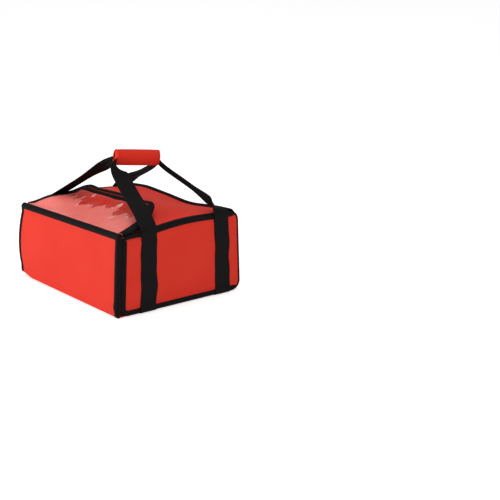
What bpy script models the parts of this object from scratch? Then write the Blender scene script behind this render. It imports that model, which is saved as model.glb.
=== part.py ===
# Pizza delivery bag: an insulated box bag with a front that folds down, a flap and two handles in a grip.
# Metres, +Z up, origin at the bottom centre, mouth towards -Y, X across.

import math

import bmesh
import bpy
import numpy as np
from mathutils import Matrix, Vector

# Cloths, boards and tapes
cloth = 0.0006
board = 0.010
flap_board = 0.003
lining = 0.0004
film = 0.0003
tape = 0.0008
tape_width = 0.013
strip = 0.0014
webbing = 0.0017
webbing_width = 0.048
gap = 0.0003

# Body
bag_width = 0.457
bag_depth = 0.385
lid_height = 0.206
lid_crown = 0.009
side_bulge = 0.006
low_front_radius = 0.020
rear_radius = 0.025
top_front_radius = 0.010
least_radius = 0.002
fold_radius = 0.006
top_fold_radius = 0.008
rear_seam_degrees = 72.0

# How the filled bag stands: its right side humps and rises to the rear, its front and back lean inwards
right_rise = 0.010
right_hump = 0.017
front_lean = 0.0085
rear_lean = -0.005

# Flap and its window
flap_length = 0.165
flap_end_width = 0.305
flap_fold_inset = 0.006
flap_corner = 0.018
flap_lift = 0.009
flap_lift_length = 0.065
fold_tape_drop = 0.005
window_margin = 0.012

# Hook and loop strips between flap and lid
strip_length = 0.090
strip_width = 0.025
strip_centre = 0.070
strip_reach = 0.095

# Handles
front_strap = -0.099
rear_strap = 0.135
strap_blend = 0.012
leg_end_width = 0.020
leg_lean = 45.0
leg_start_pull = 0.015
leg_end_pull = 0.018
leg_end_lean = (0.60, 0.80)
front_leg_turn = (0.62, 1.0)
rear_leg_turn = (0.0, 0.45)

# Grip
grip_length = 0.140
grip_middle = 0.033
grip_height = 0.3365
grip_tilt = 9.0
grip_radius = 0.0105
grip_flat = 0.014
grip_cloth = 0.0008
grip_webbing_drop = 0.006
grip_lap_degrees = 35.0
grip_strip_degrees = 24.0

# Colours as linear red, green and blue, then roughness
red_cloth = (0.72, 0.065, 0.045, 0.62)
red_grip = (0.55, 0.040, 0.028, 0.70)
black_tape = (0.012, 0.010, 0.011, 0.75)
clear_film = (0.80, 0.42, 0.40, 0.25)
pale_foam = (0.82, 0.81, 0.78, 0.90)
silver_lining = (0.62, 0.63, 0.65, 0.35)
foil = 0.6
film_alpha = 0.35

# Worked out from the values above
half_width = bag_width / 2
wall = cloth + gap + board + gap + lining
flap_stack = cloth + gap + flap_board + gap + lining
bottom_height = webbing + gap
front_face = -bag_depth / 2 + gap + tape
back_face = bag_depth / 2
low_axis = (front_face + cloth + gap + fold_radius, bottom_height + fold_radius)
side_front = front_face + wall + gap + tape + gap
lid_front = side_front + gap + tape
flap_clearance = 3 * gap + 2 * strip
fold_top = lid_height + flap_clearance + flap_stack - cloth - gap
top_axis = (front_face + top_fold_radius, fold_top - top_fold_radius)
flap_start = top_axis[0] + top_fold_radius + gap
flap_end = top_axis[0] + flap_length
still_floor = bottom_height + rear_radius
still_top = top_axis[1] - top_fold_radius - fold_tape_drop
still_front = flap_start + top_fold_radius
side_board_face = half_width - cloth - gap - board
inner_half = side_board_face - gap
lining_half = inner_half - lining - gap
side_tape_face = half_width + gap + tape
probe = gap

# How finely the pieces are divided
arc_steps = 4
leg_steps = 15
columns = 7
edge_divisions = (10, 4)
wall_steps = 5
panel_rings = (1.0, 0.85, 0.62, 0.32)
grip_rows = 7
oval_steps = 15
lap_steps = 18
sharp_degrees = 40.0


def clear_scene():
    for old in list(bpy.data.objects):
        bpy.data.objects.remove(old, do_unlink=True)


def look(name, colour, metallic=0.0, alpha=1.0):
    material = bpy.data.materials.new(name)
    material.use_nodes = True
    shader = material.node_tree.nodes["Principled BSDF"]
    shader.inputs["Base Color"].default_value = (*colour[:3], 1.0)
    shader.inputs["Roughness"].default_value = colour[3]
    shader.inputs["Metallic"].default_value = metallic
    shader.inputs["Alpha"].default_value = alpha
    return material


def pivot(name, place, parent=None, turn=0.0):
    # An empty on a joint's axis. Its world matrix is kept, for its pieces are worked out in world places.
    empty = bpy.data.objects.new(name, None)
    bpy.context.scene.collection.objects.link(empty)
    world = Matrix.Translation(place) @ Matrix.Rotation(math.radians(turn), 4, "X")
    worlds[name] = world
    empty.parent = parent
    empty.matrix_local = worlds[parent.name].inverted() @ world if parent else world
    return empty


def settled(points):
    # Where the filled bag's points stand: still under still_floor, and all alike above still_top and ahead
    # of still_front, so that both folds of the front wall stay round
    points = np.array(points, float)
    x, y, z = points[..., 0], points[..., 1], points[..., 2]
    across = (1.0 + x / half_width) / 2
    along = np.clip((y - still_front) / (back_face - still_front), 0.0, 1.0)
    height = np.clip((z - still_floor) / (still_top - still_floor), 0.0, 1.0)
    hump = (1.0 - np.cos(2 * math.pi * along)) / 2
    rise = height * across * (right_rise * along + right_hump * hump)
    lean = height * (front_lean * (1.0 - along) + rear_lean * along)
    return np.stack([x, y + lean, z + rise], axis=-1)


def local_points(points, parent):
    points = np.asarray(points, float).reshape(-1, 3)
    if parent is None:
        return points
    inverse = np.array(worlds[parent.name].inverted())
    return points @ inverse[:3, :3].T + inverse[:3, 3]


def piece(name, points, faces, thickness, colour, parent=None, metallic=0.0, alpha=1.0):
    # One named object from a surface; a thickness turns it into a cloth or tape of that thickness.
    # All but the legs and what rides on the grip settles with the bag.
    if not name.startswith(("strap_leg", "grip")):
        points = settled(points)
    mesh = bpy.data.meshes.new(name)
    mesh.from_pydata(local_points(points, parent).tolist(), [], faces)
    if not thickness:
        face_outwards(mesh)
    mesh.materials.append(look(name, colour, metallic, alpha))
    mesh.shade_smooth()
    mesh.set_sharp_from_angle(angle=math.radians(sharp_degrees))
    body = bpy.data.objects.new(name, mesh)
    bpy.context.scene.collection.objects.link(body)
    body.parent = parent
    if thickness:
        solid = body.modifiers.new("thickness", "SOLIDIFY")
        solid.thickness = thickness
        solid.offset = 0.0
        solid.use_even_offset = True
    return body


def face_outwards(mesh):
    work = bmesh.new()
    work.from_mesh(mesh)
    bmesh.ops.recalc_face_normals(work, faces=work.faces)
    work.to_mesh(mesh)
    work.free()


def grid_faces(rows, across, closed=False):
    faces = []
    for row in range(rows if closed else rows - 1):
        for column in range(across - 1):
            a = row * across + column
            b = (row + 1) % rows * across + column
            faces.append((a, a + 1, b + 1, b))
    return faces


def sheet(name, grid, thickness, colour, parent=None, closed=False):
    rows, across = grid.shape[:2]
    return piece(name, grid, grid_faces(rows, across, closed), thickness, colour, parent)


def layer(name, outer, inner, colour, parent=None, metallic=0.0, alpha=1.0):
    # A closed solid between an outer and an inner surface of the same grid
    rows, across = outer.shape[:2]
    count = rows * across
    # Each square is cut along the same diagonal, so that layers that lie on each other keep their distance
    squares = grid_faces(rows, across)
    top = [face for a, b, c, d in squares for face in ((a, b, c), (a, c, d))]
    faces = top + [tuple(count + corner for corner in reversed(face)) for face in top]
    rim = [row * across for row in range(rows)]
    rim += [(rows - 1) * across + column for column in range(1, across)]
    rim += [row * across + across - 1 for row in range(rows - 2, -1, -1)]
    rim += [column for column in range(across - 2, 0, -1)]
    for a, b in zip(rim, rim[1:] + rim[:1]):
        faces.append((a, b, count + b, count + a))
    return piece(name, np.vstack([outer, inner]), faces, 0, colour, parent, metallic, alpha)


def smooth(share):
    share = np.clip(share, 0.0, 1.0)
    return share * share * (3.0 - 2.0 * share)


# Paths across the bag are rows of y, z and the outward direction in y and z.
def arc(centre, radius, start, end, steps=arc_steps):
    angles = np.radians(np.linspace(start, end, steps + 1))
    out = np.stack([np.cos(angles), np.sin(angles)], axis=1)
    return np.hstack([np.array(centre) + radius * out, out])


def run(start, end, out, steps):
    # The points between two ends, without the ends
    shares = np.linspace(0.0, 1.0, steps + 1)[1:-1, None]
    places = np.array(start) * (1.0 - shares) + np.array(end) * shares
    return np.hstack([places, np.tile(out, (len(places), 1))])


def inward(path, depth):
    return path[:, :2] - depth * path[:, 2:]


def lid_rise(x, y):
    # The lid's crown: a parabola across, and flat to nothing at the front and at the rear bend
    low, high = lid_front + tape_width, back_face - rear_radius
    across = np.clip(1.0 - (x / lining_half) ** 2, 0.0, 1.0)
    along = np.clip(1.0 - ((2.0 * y - low - high) / (high - low)) ** 2, 0.0, 1.0)
    return lid_crown * across * along**2


def spread(path, depth, half, crowned=False):
    # A path carried across the bag at a depth under its outer face
    places = inward(path, depth)
    x = np.linspace(-lining_half, lining_half, columns if crowned else 3)
    if half > lining_half:
        x = np.concatenate([[-half], x, [half]])
    grid = np.empty((len(places), len(x), 3))
    grid[..., 0] = x
    grid[..., 1] = places[:, 0, None]
    grid[..., 2] = places[:, 1, None]
    if crowned:
        grid[..., 2] += lid_rise(grid[..., 0], grid[..., 1])
    return grid


def bent(name, path, depth, thickness, half, colour, parent=None, crowned=False, metallic=0.0):
    # A cloth, board or lining along a path, from a depth under its outer face inwards
    outer = spread(path, depth, half, crowned)
    inner = spread(path, depth + thickness, half, crowned)
    return layer(name, outer, inner, colour, parent, metallic)


# Side panels
def side_loop(inset):
    # The rounded outline of a side panel, inset by a distance, all the way round
    low, high = side_front + inset, back_face - inset
    floor, top = bottom_height + inset, lid_height - inset
    radii = [low_front_radius, rear_radius, rear_radius, top_front_radius]
    radii = [max(radius - inset, least_radius) for radius in radii]
    corners = [
        arc((low + radii[0], floor + radii[0]), radii[0], 180, 270),
        arc((high - radii[1], floor + radii[1]), radii[1], 270, 360),
        arc((high - radii[2], top - radii[2]), radii[2], 0, 90),
        arc((low + radii[3], top - radii[3]), radii[3], 90, 180),
    ]
    parts = []
    for corner, following, steps in zip(corners, corners[1:] + corners[:1], 2 * edge_divisions):
        parts.append(corner[:, :2])
        parts.append(run(corner[-1, :2], following[0, :2], (0.0, 0.0), steps)[:, :2])
    return np.vstack(parts)


def side_face(y, z):
    # How far a side panel bulges, nothing at its taped border
    middle_y, middle_z = (side_front + back_face) / 2, (bottom_height + lid_height) / 2
    reach_y = (back_face - side_front) / 2 - tape_width
    reach_z = (lid_height - bottom_height) / 2 - tape_width
    along = np.clip(1.0 - ((y - middle_y) / reach_y) ** 2, 0.0, 1.0)
    upright = np.clip(1.0 - ((z - middle_z) / reach_z) ** 2, 0.0, 1.0)
    return side_bulge * along * upright


def side_panel(name, depth, inset, thickness, colour, side, metallic=0.0):
    # Rings of the outline drawn in towards the panel's middle, then a fan
    loop = side_loop(inset)
    middle = loop.mean(axis=0)
    inner = side_loop(tape_width + gap)
    rings = [loop] + [middle + share * (inner - middle) for share in panel_rings]
    flat = np.vstack(rings + [middle[None]])
    x = side * (half_width - depth - thickness / 2 + side_face(flat[:, 0], flat[:, 1]))
    points = np.column_stack([x, flat])
    count = len(loop)
    faces = []
    last = (len(rings) - 1) * count
    for start in range(0, last, count):
        for spot in range(count):
            after = (spot + 1) % count
            faces.append((start + spot, start + after, start + count + after, start + count + spot))
    for spot in range(count):
        faces.append((last + spot, last + (spot + 1) % count, len(points) - 1))
    return piece(name, points, faces, thickness, colour, metallic=metallic)


def side_tape(name, side):
    rings = np.stack([side_loop(0.0), side_loop(tape_width)], axis=1)
    grid = np.empty((len(rings), 2, 3))
    grid[..., 0] = side * (half_width + gap + tape / 2)
    grid[..., 1:] = rings
    return sheet(name, grid, tape, black_tape, closed=True)


def make_sides():
    skin_inset = cloth + gap
    lining_inset = cloth + gap + board + gap
    for side, word in ((1.0, "right"), (-1.0, "left")):
        side_panel(f"side_cloth_{word}", 0.0, skin_inset, cloth, red_cloth, side)
        side_panel(f"side_board_{word}", cloth + gap, skin_inset, board, pale_foam, side)
        depth = cloth + gap + board + gap
        side_panel(f"side_lining_{word}", depth, lining_inset, lining, silver_lining, side, foil)
        side_tape(f"side_tape_{word}", side)


# Bottom, back and lid
def rear_corner(upper, start, end, steps=arc_steps):
    centre_z = lid_height - rear_radius if upper else bottom_height + rear_radius
    return arc((back_face - rear_radius, centre_z), rear_radius, start, end, steps)


def make_shell():
    seam = rear_seam_degrees
    half_tape_degrees = math.degrees(tape_width / 2 / rear_radius)
    seam_gap = math.degrees(gap / rear_radius)
    up = (0.0, 1.0)
    lid_ends = ((back_face - rear_radius, lid_height), (side_front + top_front_radius, lid_height))
    low_corner = rear_corner(False, 270, 360)
    lid = run(*lid_ends, up, edge_divisions[0])
    reaches = (tape_width, tape_width / 2, 0.0)
    lid_edge = np.array([[lid_front + reach, lid_height, *up] for reach in reaches])

    low_fold = arc(low_axis, fold_radius, 180, 270)
    low_end, high_end = (back_face, bottom_height + rear_radius), (back_face, lid_height - rear_radius)
    back = run(low_end, high_end, (1.0, 0.0), wall_steps)
    high_corner = rear_corner(True, 0, seam - seam_gap, 2 * arc_steps)
    round_back = np.vstack([low_fold, low_corner, back, high_corner])
    bent("body_cloth", round_back, 0.0, cloth, half_width, red_cloth)
    cover = np.vstack([rear_corner(True, seam + seam_gap, 90), lid, lid_edge])
    bent("lid_cloth", cover, 0.0, cloth, half_width, red_cloth, crowned=True)

    depth = cloth + gap
    start = np.array([[low_axis[0] + gap, bottom_height, 0.0, -1.0]])
    end = np.array([[back_face - rear_radius, bottom_height, 0.0, -1.0]])
    bent("bottom_board", np.vstack([start, end]), depth, board, inner_half, pale_foam)
    upright = np.vstack([rear_corner(False, 270 + seam_gap, 360), back, high_corner])
    bent("back_board", upright, depth, board, inner_half, pale_foam)
    bent("lid_board", cover, depth, board, inner_half, pale_foam, crowned=True)

    depth += board + gap
    inner = np.vstack([start, low_corner, back, rear_corner(True, 0, seam - 2 * seam_gap)])
    bent("body_lining", inner, depth, lining, lining_half, silver_lining, metallic=foil)
    inner_lid = np.vstack([rear_corner(True, seam + 2 * seam_gap, 90), lid, lid_edge])
    bent("lid_lining", inner_lid, depth, lining, lining_half, silver_lining, crowned=True, metallic=foil)

    edge = rear_corner(True, seam - half_tape_degrees, seam + half_tape_degrees)
    bent("back_top_tape", edge, -gap - tape, tape, half_width, black_tape)


def tape_section(stack):
    # The folded edge tape's section: over the top, round the edge and back under
    stand = gap + tape / 2
    rise = stack / 2 + stand
    angles = np.radians(np.linspace(90.0, 0.0, 3))
    upper = np.stack([stand * np.cos(angles), stack / 2 + stand * np.sin(angles)], axis=1)
    arm = [(-tape_width, rise), (-tape_width / 2, rise)]
    half = np.vstack([arm, upper])
    return np.vstack([half, half[::-1] * (1.0, -1.0)])


def edge_tape(name, edge, out, up, stack, parent=None):
    section = tape_section(stack)
    grid = edge[:, None] + section[None, :, :1] * out[:, None] + section[None, :, 1:] * up[:, None]
    return sheet(name, grid, tape, black_tape, parent)


def make_lid_edge():
    edge = np.array([(x, lid_front, lid_height - wall / 2) for x in (-lining_half, lining_half)])
    out = np.tile((0.0, -1.0, 0.0), (2, 1))
    up = np.tile((0.0, 0.0, 1.0), (2, 1))
    edge_tape("lid_front_tape", edge, out, up, wall)


# Front wall
def make_front(hinge):
    out = (-1.0, 0.0)
    foot = low_axis[1] - fold_radius + 2 * gap
    board_foot = low_axis[1] + fold_radius + gap
    head = top_axis[1]
    cloth_head = head - fold_tape_drop - gap

    def upright(low, high):
        # The levels of all the wall's layers agree between its foot and its head
        levels = np.linspace(still_floor, still_top, wall_steps + 1)
        levels = np.concatenate([[low], levels, [high]])
        return np.array([[front_face, level, *out] for level in levels])

    bent("front_cloth", upright(foot, cloth_head), 0.0, cloth, half_width, red_cloth, hinge)
    inside = upright(board_foot, head)
    bent("front_board", inside, cloth + gap, board, half_width, pale_foam, hinge)
    bent("front_lining", inside, wall - lining, lining, half_width, silver_lining, hinge, metallic=foil)

    turn = arc(top_axis, top_fold_radius, 180, 90)
    drop = np.array([[front_face, head - fold_tape_drop, *out]])
    bent("fold_tape", np.vstack([drop, turn]), 0.0, tape, half_width, black_tape, hinge)

    for side, word in ((1.0, "right"), (-1.0, "left")):
        levels = upright(board_foot, cloth_head)[:, 1]
        edge = np.array([(side * half_width, front_face + wall / 2, level) for level in levels])
        aside = np.tile((side, 0.0, 0.0), (len(edge), 1))
        ahead = np.tile((0.0, -1.0, 0.0), (len(edge), 1))
        edge_tape(f"front_tape_{word}", edge, aside, ahead, wall, hinge)


# Flap
def flap_half(y):
    # The flap narrows steadily from the fold to its end, where its corners are round
    fold_half = half_width - flap_fold_inset
    share = (y - top_axis[0]) / flap_length
    half = fold_half + (flap_end_width / 2 - fold_half) * share
    reach = np.clip(y - (flap_end - flap_corner), 0.0, flap_corner)
    return half - (flap_corner - np.sqrt(flap_corner**2 - reach**2))


def flap_rows(start):
    # Rows from the fold to the end, closer together where the end lifts and where its corners turn
    lift_start = flap_end - flap_lift_length
    flat = np.linspace(start, lift_start, 5)
    lifting = np.linspace(lift_start, flap_end - flap_corner, 8)[1:]
    turn = flap_end - flap_corner + flap_corner * np.sin(np.radians(np.linspace(0.0, 90.0, 5)[1:]))
    return np.concatenate([flat, lifting, turn])


def over_lid(x, y, lifts=True):
    # Height of a surface that follows the lid's crown, with the flap's lifted end
    height = lid_height + lid_rise(x, y)
    if lifts:
        height = height + flap_lift * smooth((y - flap_end + flap_lift_length) / flap_lift_length)
    return height


def lifted(x, y, level, lifts=True):
    # Points a level above that surface, square to it
    slope_x = (over_lid(x + probe, y, lifts) - over_lid(x - probe, y, lifts)) / (2 * probe)
    slope_y = (over_lid(x, y + probe, lifts) - over_lid(x, y - probe, lifts)) / (2 * probe)
    out = np.stack([-slope_x, -slope_y, np.ones_like(slope_x)], axis=-1)
    out /= np.linalg.norm(out, axis=-1, keepdims=True)
    return np.stack([x, y, over_lid(x, y, lifts)], axis=-1) + out * np.expand_dims(level, -1)


def laid(name, y, half, level, thickness, colour, parent=None, metallic=0.0, alpha=1.0):
    # A layer over the lid between two levels, as wide as half at each row
    x = np.linspace(-1.0, 1.0, columns) * half[:, None]
    rows = np.broadcast_to(y[:, None], x.shape)
    bottom = np.full(x.shape, flap_clearance + level)
    top = lifted(x, rows, bottom + thickness)
    return layer(name, top, lifted(x, rows, bottom), colour, parent, metallic, alpha)


def make_flap(hinge):
    whole = flap_rows(top_axis[0])
    backed = flap_rows(flap_start)
    laid("flap_cloth", whole, flap_half(whole), flap_stack - cloth, cloth, red_cloth, hinge)
    laid("flap_board", backed, flap_half(backed), lining + gap, flap_board, pale_foam, hinge)
    laid("flap_lining", backed, flap_half(backed), 0.0, lining, silver_lining, hinge, metallic=foil)

    # The edge tape's path goes up the right side, across the end and down the left side
    across = np.linspace(1.0, -1.0, columns)[1:-1] * flap_half(flap_end)
    x = np.concatenate([flap_half(backed), across, -flap_half(backed)[::-1]])
    y = np.concatenate([backed, np.full(len(across), flap_end), backed[::-1]])
    ahead_x, ahead_y = np.gradient(x), np.gradient(y)
    length = np.hypot(ahead_x, ahead_y)
    out_x, out_y = ahead_y / length, -ahead_x / length
    # Both ends are cut across the flap, clear of the fold when the flap stands up
    out_x[[0, -1]] = (1.0, -1.0)
    out_y[[0, -1]] = 0.0
    section = tape_section(flap_stack)
    reach, rise = section[:, 0], section[:, 1]
    x = x[:, None] + out_x[:, None] * reach
    y = y[:, None] + out_y[:, None] * reach
    level = np.broadcast_to(flap_clearance + flap_stack / 2 + rise, x.shape)
    sheet("flap_tape", lifted(x, y, level), tape, black_tape, hinge)

    taper = (half_width - flap_fold_inset - flap_end_width / 2) / flap_length
    margin = (tape_width + 2 * gap) * math.hypot(1.0, taper)
    window_end = flap_end - tape_width - window_margin
    y = np.append(whole[whole < window_end - gap], window_end)
    half = flap_half(y) - margin
    laid("window_film", y, half, flap_stack + gap, film, clear_film, hinge, alpha=film_alpha)
    y = np.append(y[y > window_end - tape_width], window_end)
    y = np.unique(np.append(y, window_end - tape_width))
    laid("window_tape", y, flap_half(y) - margin, flap_stack + 2 * gap + film, tape, black_tape, hinge)


def strip_patch(name, side, level, parent=None):
    y = np.linspace(-strip_width / 2, strip_width / 2, 4) + top_axis[0] + strip_reach
    x = np.linspace(-strip_length / 2, strip_length / 2, columns) + side * strip_centre
    x, y = np.meshgrid(x, y)
    bottom = np.full(x.shape, level)
    layer(name, lifted(x, y, bottom + strip, False), lifted(x, y, bottom, False), black_tape, parent)


def make_strips(hinge):
    for side, word in ((1.0, "right"), (-1.0, "left")):
        strip_patch(f"loop_strip_{word}", side, gap)
        strip_patch(f"hook_strip_{word}", side, flap_clearance - gap - strip, hinge)


# Handles: webbing under the bag, up its sides and over to the grip
def strap_side(side, y):
    turn = arc((side_tape_face, bottom_height), gap + webbing / 2, 270, 360, 4)[:, :2]
    foot, head = bottom_height + tape_width + gap, lid_height - tape_width - gap
    ramp = np.linspace(0.0, strap_blend, 4)
    middle = np.linspace(foot + strap_blend, head - strap_blend, 2 * wall_steps + 1)[1:-1]
    ends = ([bottom_height + tape_width / 2], [lid_height - gap])
    z = np.concatenate([ends[0], foot + ramp, middle, head - ramp[::-1], ends[1]])
    across = y + np.linspace(-webbing_width / 2, webbing_width / 2, 3)
    low = np.empty((len(turn), 3, 3))
    low[..., 0] = turn[:, 0, None]
    low[..., 1] = across
    low[..., 2] = turn[:, 1, None]
    high = np.empty((len(z), 3, 3))
    high[..., 1] = across
    high[..., 2] = z[:, None]
    settle = smooth((z - foot) / strap_blend) * smooth((head - z) / strap_blend)
    stand = (gap + tape) * (1.0 - settle)[:, None]
    rise = np.maximum(stand, side_face(high[..., 1], high[..., 2]))
    high[..., 0] = half_width + gap + webbing / 2 + rise
    grid = np.vstack([low, high])
    grid[..., 0] *= side
    return grid


def curve(points, count):
    # A cubic curve drawn from the first to the last of four points, and its unit tangents
    t = np.linspace(0.0, 1.0, count)[:, None]
    a, b, c, d = [np.array(point) for point in points]
    place = (1 - t) ** 3 * a + 3 * t * (1 - t) ** 2 * b + 3 * t * t * (1 - t) * c + t**3 * d
    tangent = 3 * (1 - t) ** 2 * (b - a) + 6 * t * (1 - t) * (c - b) + 3 * t * t * (d - c)
    return place, tangent / np.linalg.norm(tangent, axis=1, keepdims=True)


def strap_leg(side, y, end, turn, grip):
    # From the side's top edge to the grip's end; between two shares of its way the band turns from
    # lying along Y to standing upright
    world = worlds[grip.name]
    start = Vector((side * (side_tape_face + gap + webbing / 2), y, lid_height + webbing / 2))
    shift = Vector(settled(start)) - start
    angle = math.radians(leg_lean)
    lean = Vector((-side * math.sin(angle), 0.0, math.cos(angle)))
    end_y = end * (grip_length / 2 + gap + webbing / 2)
    finish = world @ Vector((side * (webbing + gap) / 2, end_y, -grip_webbing_drop))
    along = world.to_3x3() @ Vector((side * leg_end_lean[0], end * leg_end_lean[1], 0.0))
    upright = world.to_3x3() @ Vector((0.0, 0.0, -1.0))
    pulled = (start + lean * leg_start_pull, finish - shift + along * leg_end_pull)
    place, tangent = curve((start, *pulled, finish - shift), leg_steps)
    share = np.linspace(0.0, 1.0, leg_steps)[:, None]
    turned = smooth((share - turn[0]) / (turn[1] - turn[0]))
    wide = (1.0 - turned) * np.array((0.0, 1.0, 0.0)) + turned * np.array(upright)
    wide -= (wide * tangent).sum(axis=1, keepdims=True) * tangent
    wide /= np.linalg.norm(wide, axis=1, keepdims=True)
    breadth = webbing_width + (leg_end_width - webbing_width) * turned
    across = np.linspace(-0.5, 0.5, 3)
    grid = place[:, None] + across[None, :, None] * (breadth * wide)[:, None]
    # The leg starts on the settled side and leaves it by and by
    start_row = settled(grid) - grid
    follows = 1.0 - smooth(share * 3.0)[..., None]
    grid = grid + follows * start_row + (1.0 - follows) * np.array(shift)
    # The two handles stay on their own sides of the bag's middle
    grid[..., 0] = side * np.maximum(side * grid[..., 0], (webbing + gap) / 2)
    return grid


def make_handles(grip):
    half_run = side_tape_face - gap
    handles = (("front", front_strap, -1.0, front_leg_turn), ("rear", rear_strap, 1.0, rear_leg_turn))
    for word, y, end, turn in handles:
        run_grid = np.empty((2, 3, 3))
        run_grid[..., 0] = np.array((-half_run, half_run))[:, None]
        run_grid[..., 1] = y + np.linspace(-webbing_width / 2, webbing_width / 2, 3)
        run_grid[..., 2] = webbing / 2
        sheet(f"strap_under_{word}", run_grid, webbing, black_tape)
        for side, hand in ((1.0, "right"), (-1.0, "left")):
            sheet(f"strap_side_{word}_{hand}", strap_side(side, y), webbing, black_tape)
            leg = strap_leg(side, y, end, turn, grip)
            sheet(f"strap_leg_{word}_{hand}", leg, webbing, black_tape)


# Grip: two webbings side by side in two foam pads, and a wrap that laps under them
def oval(level, degrees):
    angles = np.radians(degrees)
    across, tall = grip_radius + level, grip_radius + grip_flat / 2 + level
    return np.stack([across * np.cos(angles), tall * np.sin(angles)], axis=-1)


def lap_level(degrees):
    # The closing half stands off more and more towards the lap, where both strips lie under it
    full = grip_cloth + 3 * gap + 2 * strip
    return full * smooth((90.0 - degrees) / 170.0)


def along_grip(section, rows=grip_rows):
    # A section carried along the grip
    y = np.linspace(-grip_length / 2, grip_length / 2, rows)
    grid = np.empty((rows, len(section), 3))
    grid[..., 0] = section[:, 0]
    grid[..., 1] = y[:, None]
    grid[..., 2] = section[:, 1]
    return grid


def prism(name, section, colour, parent):
    grid = along_grip(section, 2)
    rows, across = grid.shape[:2]
    faces = [(i, across + i, across + (i + 1) % across, (i + 1) % across) for i in range(across)]
    faces += [tuple(range(across)), tuple(reversed(range(across, 2 * across)))]
    return piece(name, in_grip(grid), faces, 0, colour, parent)


def in_grip(grid):
    # Places in the grip's own frame, turned into world places
    world = np.array(worlds["grip_pivot"])
    return grid @ world[:3, :3].T + world[:3, 3]


def make_grip(grip, wrap):
    core = webbing + gap / 2
    seam = 2.0
    fixed = oval(0.0, np.linspace(90.0 + seam, 270.0, oval_steps))
    sheet("grip_wrap", in_grip(along_grip(fixed)), grip_cloth, red_grip, grip)
    degrees = np.linspace(90.0 - seam, -90.0 - grip_lap_degrees, lap_steps)
    closing = oval(lap_level(degrees), degrees)
    sheet("grip_flap", in_grip(along_grip(closing)), grip_cloth, red_grip, wrap)

    inside = -grip_cloth / 2 - gap
    meet = math.degrees(math.acos((core + gap) / (grip_radius + inside)))
    degrees = np.linspace(180.0 - meet, 180.0 + meet, oval_steps)
    prism("grip_pad", oval(inside, degrees), pale_foam, grip)
    degrees = np.linspace(-meet, meet, oval_steps)
    prism("grip_flap_pad", oval(lap_level(degrees) + inside, degrees), pale_foam, wrap)

    tall = np.array((-leg_end_width / 2, 0.0, leg_end_width / 2)) - grip_webbing_drop
    for side, hand in ((1.0, "right"), (-1.0, "left")):
        section = np.stack([np.full(3, side * (webbing + gap) / 2), tall], axis=1)
        sheet(f"grip_webbing_{hand}", in_grip(along_grip(section)), webbing, black_tape, grip)

    first = 270.0 - (grip_lap_degrees - grip_strip_degrees) / 2
    degrees = np.linspace(first, first - grip_strip_degrees, 5)
    level = grip_cloth / 2 + gap + strip / 2
    sheet("grip_loop_strip", in_grip(along_grip(oval(level, degrees))), strip, black_tape, grip)
    level += strip + gap
    sheet("grip_hook_strip", in_grip(along_grip(oval(level, degrees))), strip, black_tape, wrap)


clear_scene()
worlds = {}
front_hinge = pivot("front_pivot", (0.0, *low_axis))
flap_hinge = pivot("flap_pivot", Vector(settled((0.0, *top_axis))), front_hinge)
grip_frame = pivot("grip_pivot", (0.0, grip_middle, grip_height), turn=-grip_tilt)
wrap_axis = Vector((0.0, 0.0, grip_radius + grip_flat / 2 + grip_cloth / 2))
wrap_place = grip_frame.matrix_local @ wrap_axis
wrap_hinge = pivot("wrap_pivot", wrap_place, grip_frame, -grip_tilt)

make_sides()
make_shell()
make_lid_edge()
make_front(front_hinge)
make_flap(flap_hinge)
make_strips(flap_hinge)
make_handles(grip_frame)
make_grip(grip_frame, wrap_hinge)
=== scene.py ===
# Looks of the pizza delivery bag: soft cloths, tapes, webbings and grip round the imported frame.
import math
import bmesh
import bpy
import numpy as np
from mathutils import Matrix, Vector


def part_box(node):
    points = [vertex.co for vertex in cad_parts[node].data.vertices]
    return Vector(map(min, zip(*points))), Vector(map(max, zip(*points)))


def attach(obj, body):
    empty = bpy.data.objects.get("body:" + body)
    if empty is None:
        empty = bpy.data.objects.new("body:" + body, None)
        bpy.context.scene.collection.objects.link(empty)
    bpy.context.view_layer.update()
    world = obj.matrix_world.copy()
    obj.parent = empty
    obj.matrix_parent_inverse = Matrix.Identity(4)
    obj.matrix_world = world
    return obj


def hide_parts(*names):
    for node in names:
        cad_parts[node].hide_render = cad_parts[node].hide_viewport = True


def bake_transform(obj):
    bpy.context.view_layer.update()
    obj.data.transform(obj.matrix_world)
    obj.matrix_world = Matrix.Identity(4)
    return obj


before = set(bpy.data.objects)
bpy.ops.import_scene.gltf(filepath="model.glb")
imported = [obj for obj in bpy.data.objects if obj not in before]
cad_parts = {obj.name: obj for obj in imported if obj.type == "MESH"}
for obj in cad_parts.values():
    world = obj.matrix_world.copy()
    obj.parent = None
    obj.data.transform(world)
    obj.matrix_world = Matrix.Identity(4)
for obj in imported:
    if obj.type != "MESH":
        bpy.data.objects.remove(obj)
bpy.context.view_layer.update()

# Places read from the frame, in metres
bag = {
    "halfWidth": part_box("body_cloth")[1].x,
    "front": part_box("front_cloth")[0].y,
    "back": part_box("body_cloth")[1].y,
    "floor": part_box("side_tape_right")[0].z,
    "lid": 0.206,
    "mouth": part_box("side_tape_right")[0].y,
    "lidFront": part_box("side_tape_right")[0].y + 0.0011,
    "rearRadius": 0.025,
    "lowFrontRadius": 0.020,
    "topFrontRadius": 0.010,
    "crown": 0.009,
    "tapeWidth": 0.013,
    "tapeThickness": 0.0008,
}

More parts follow.
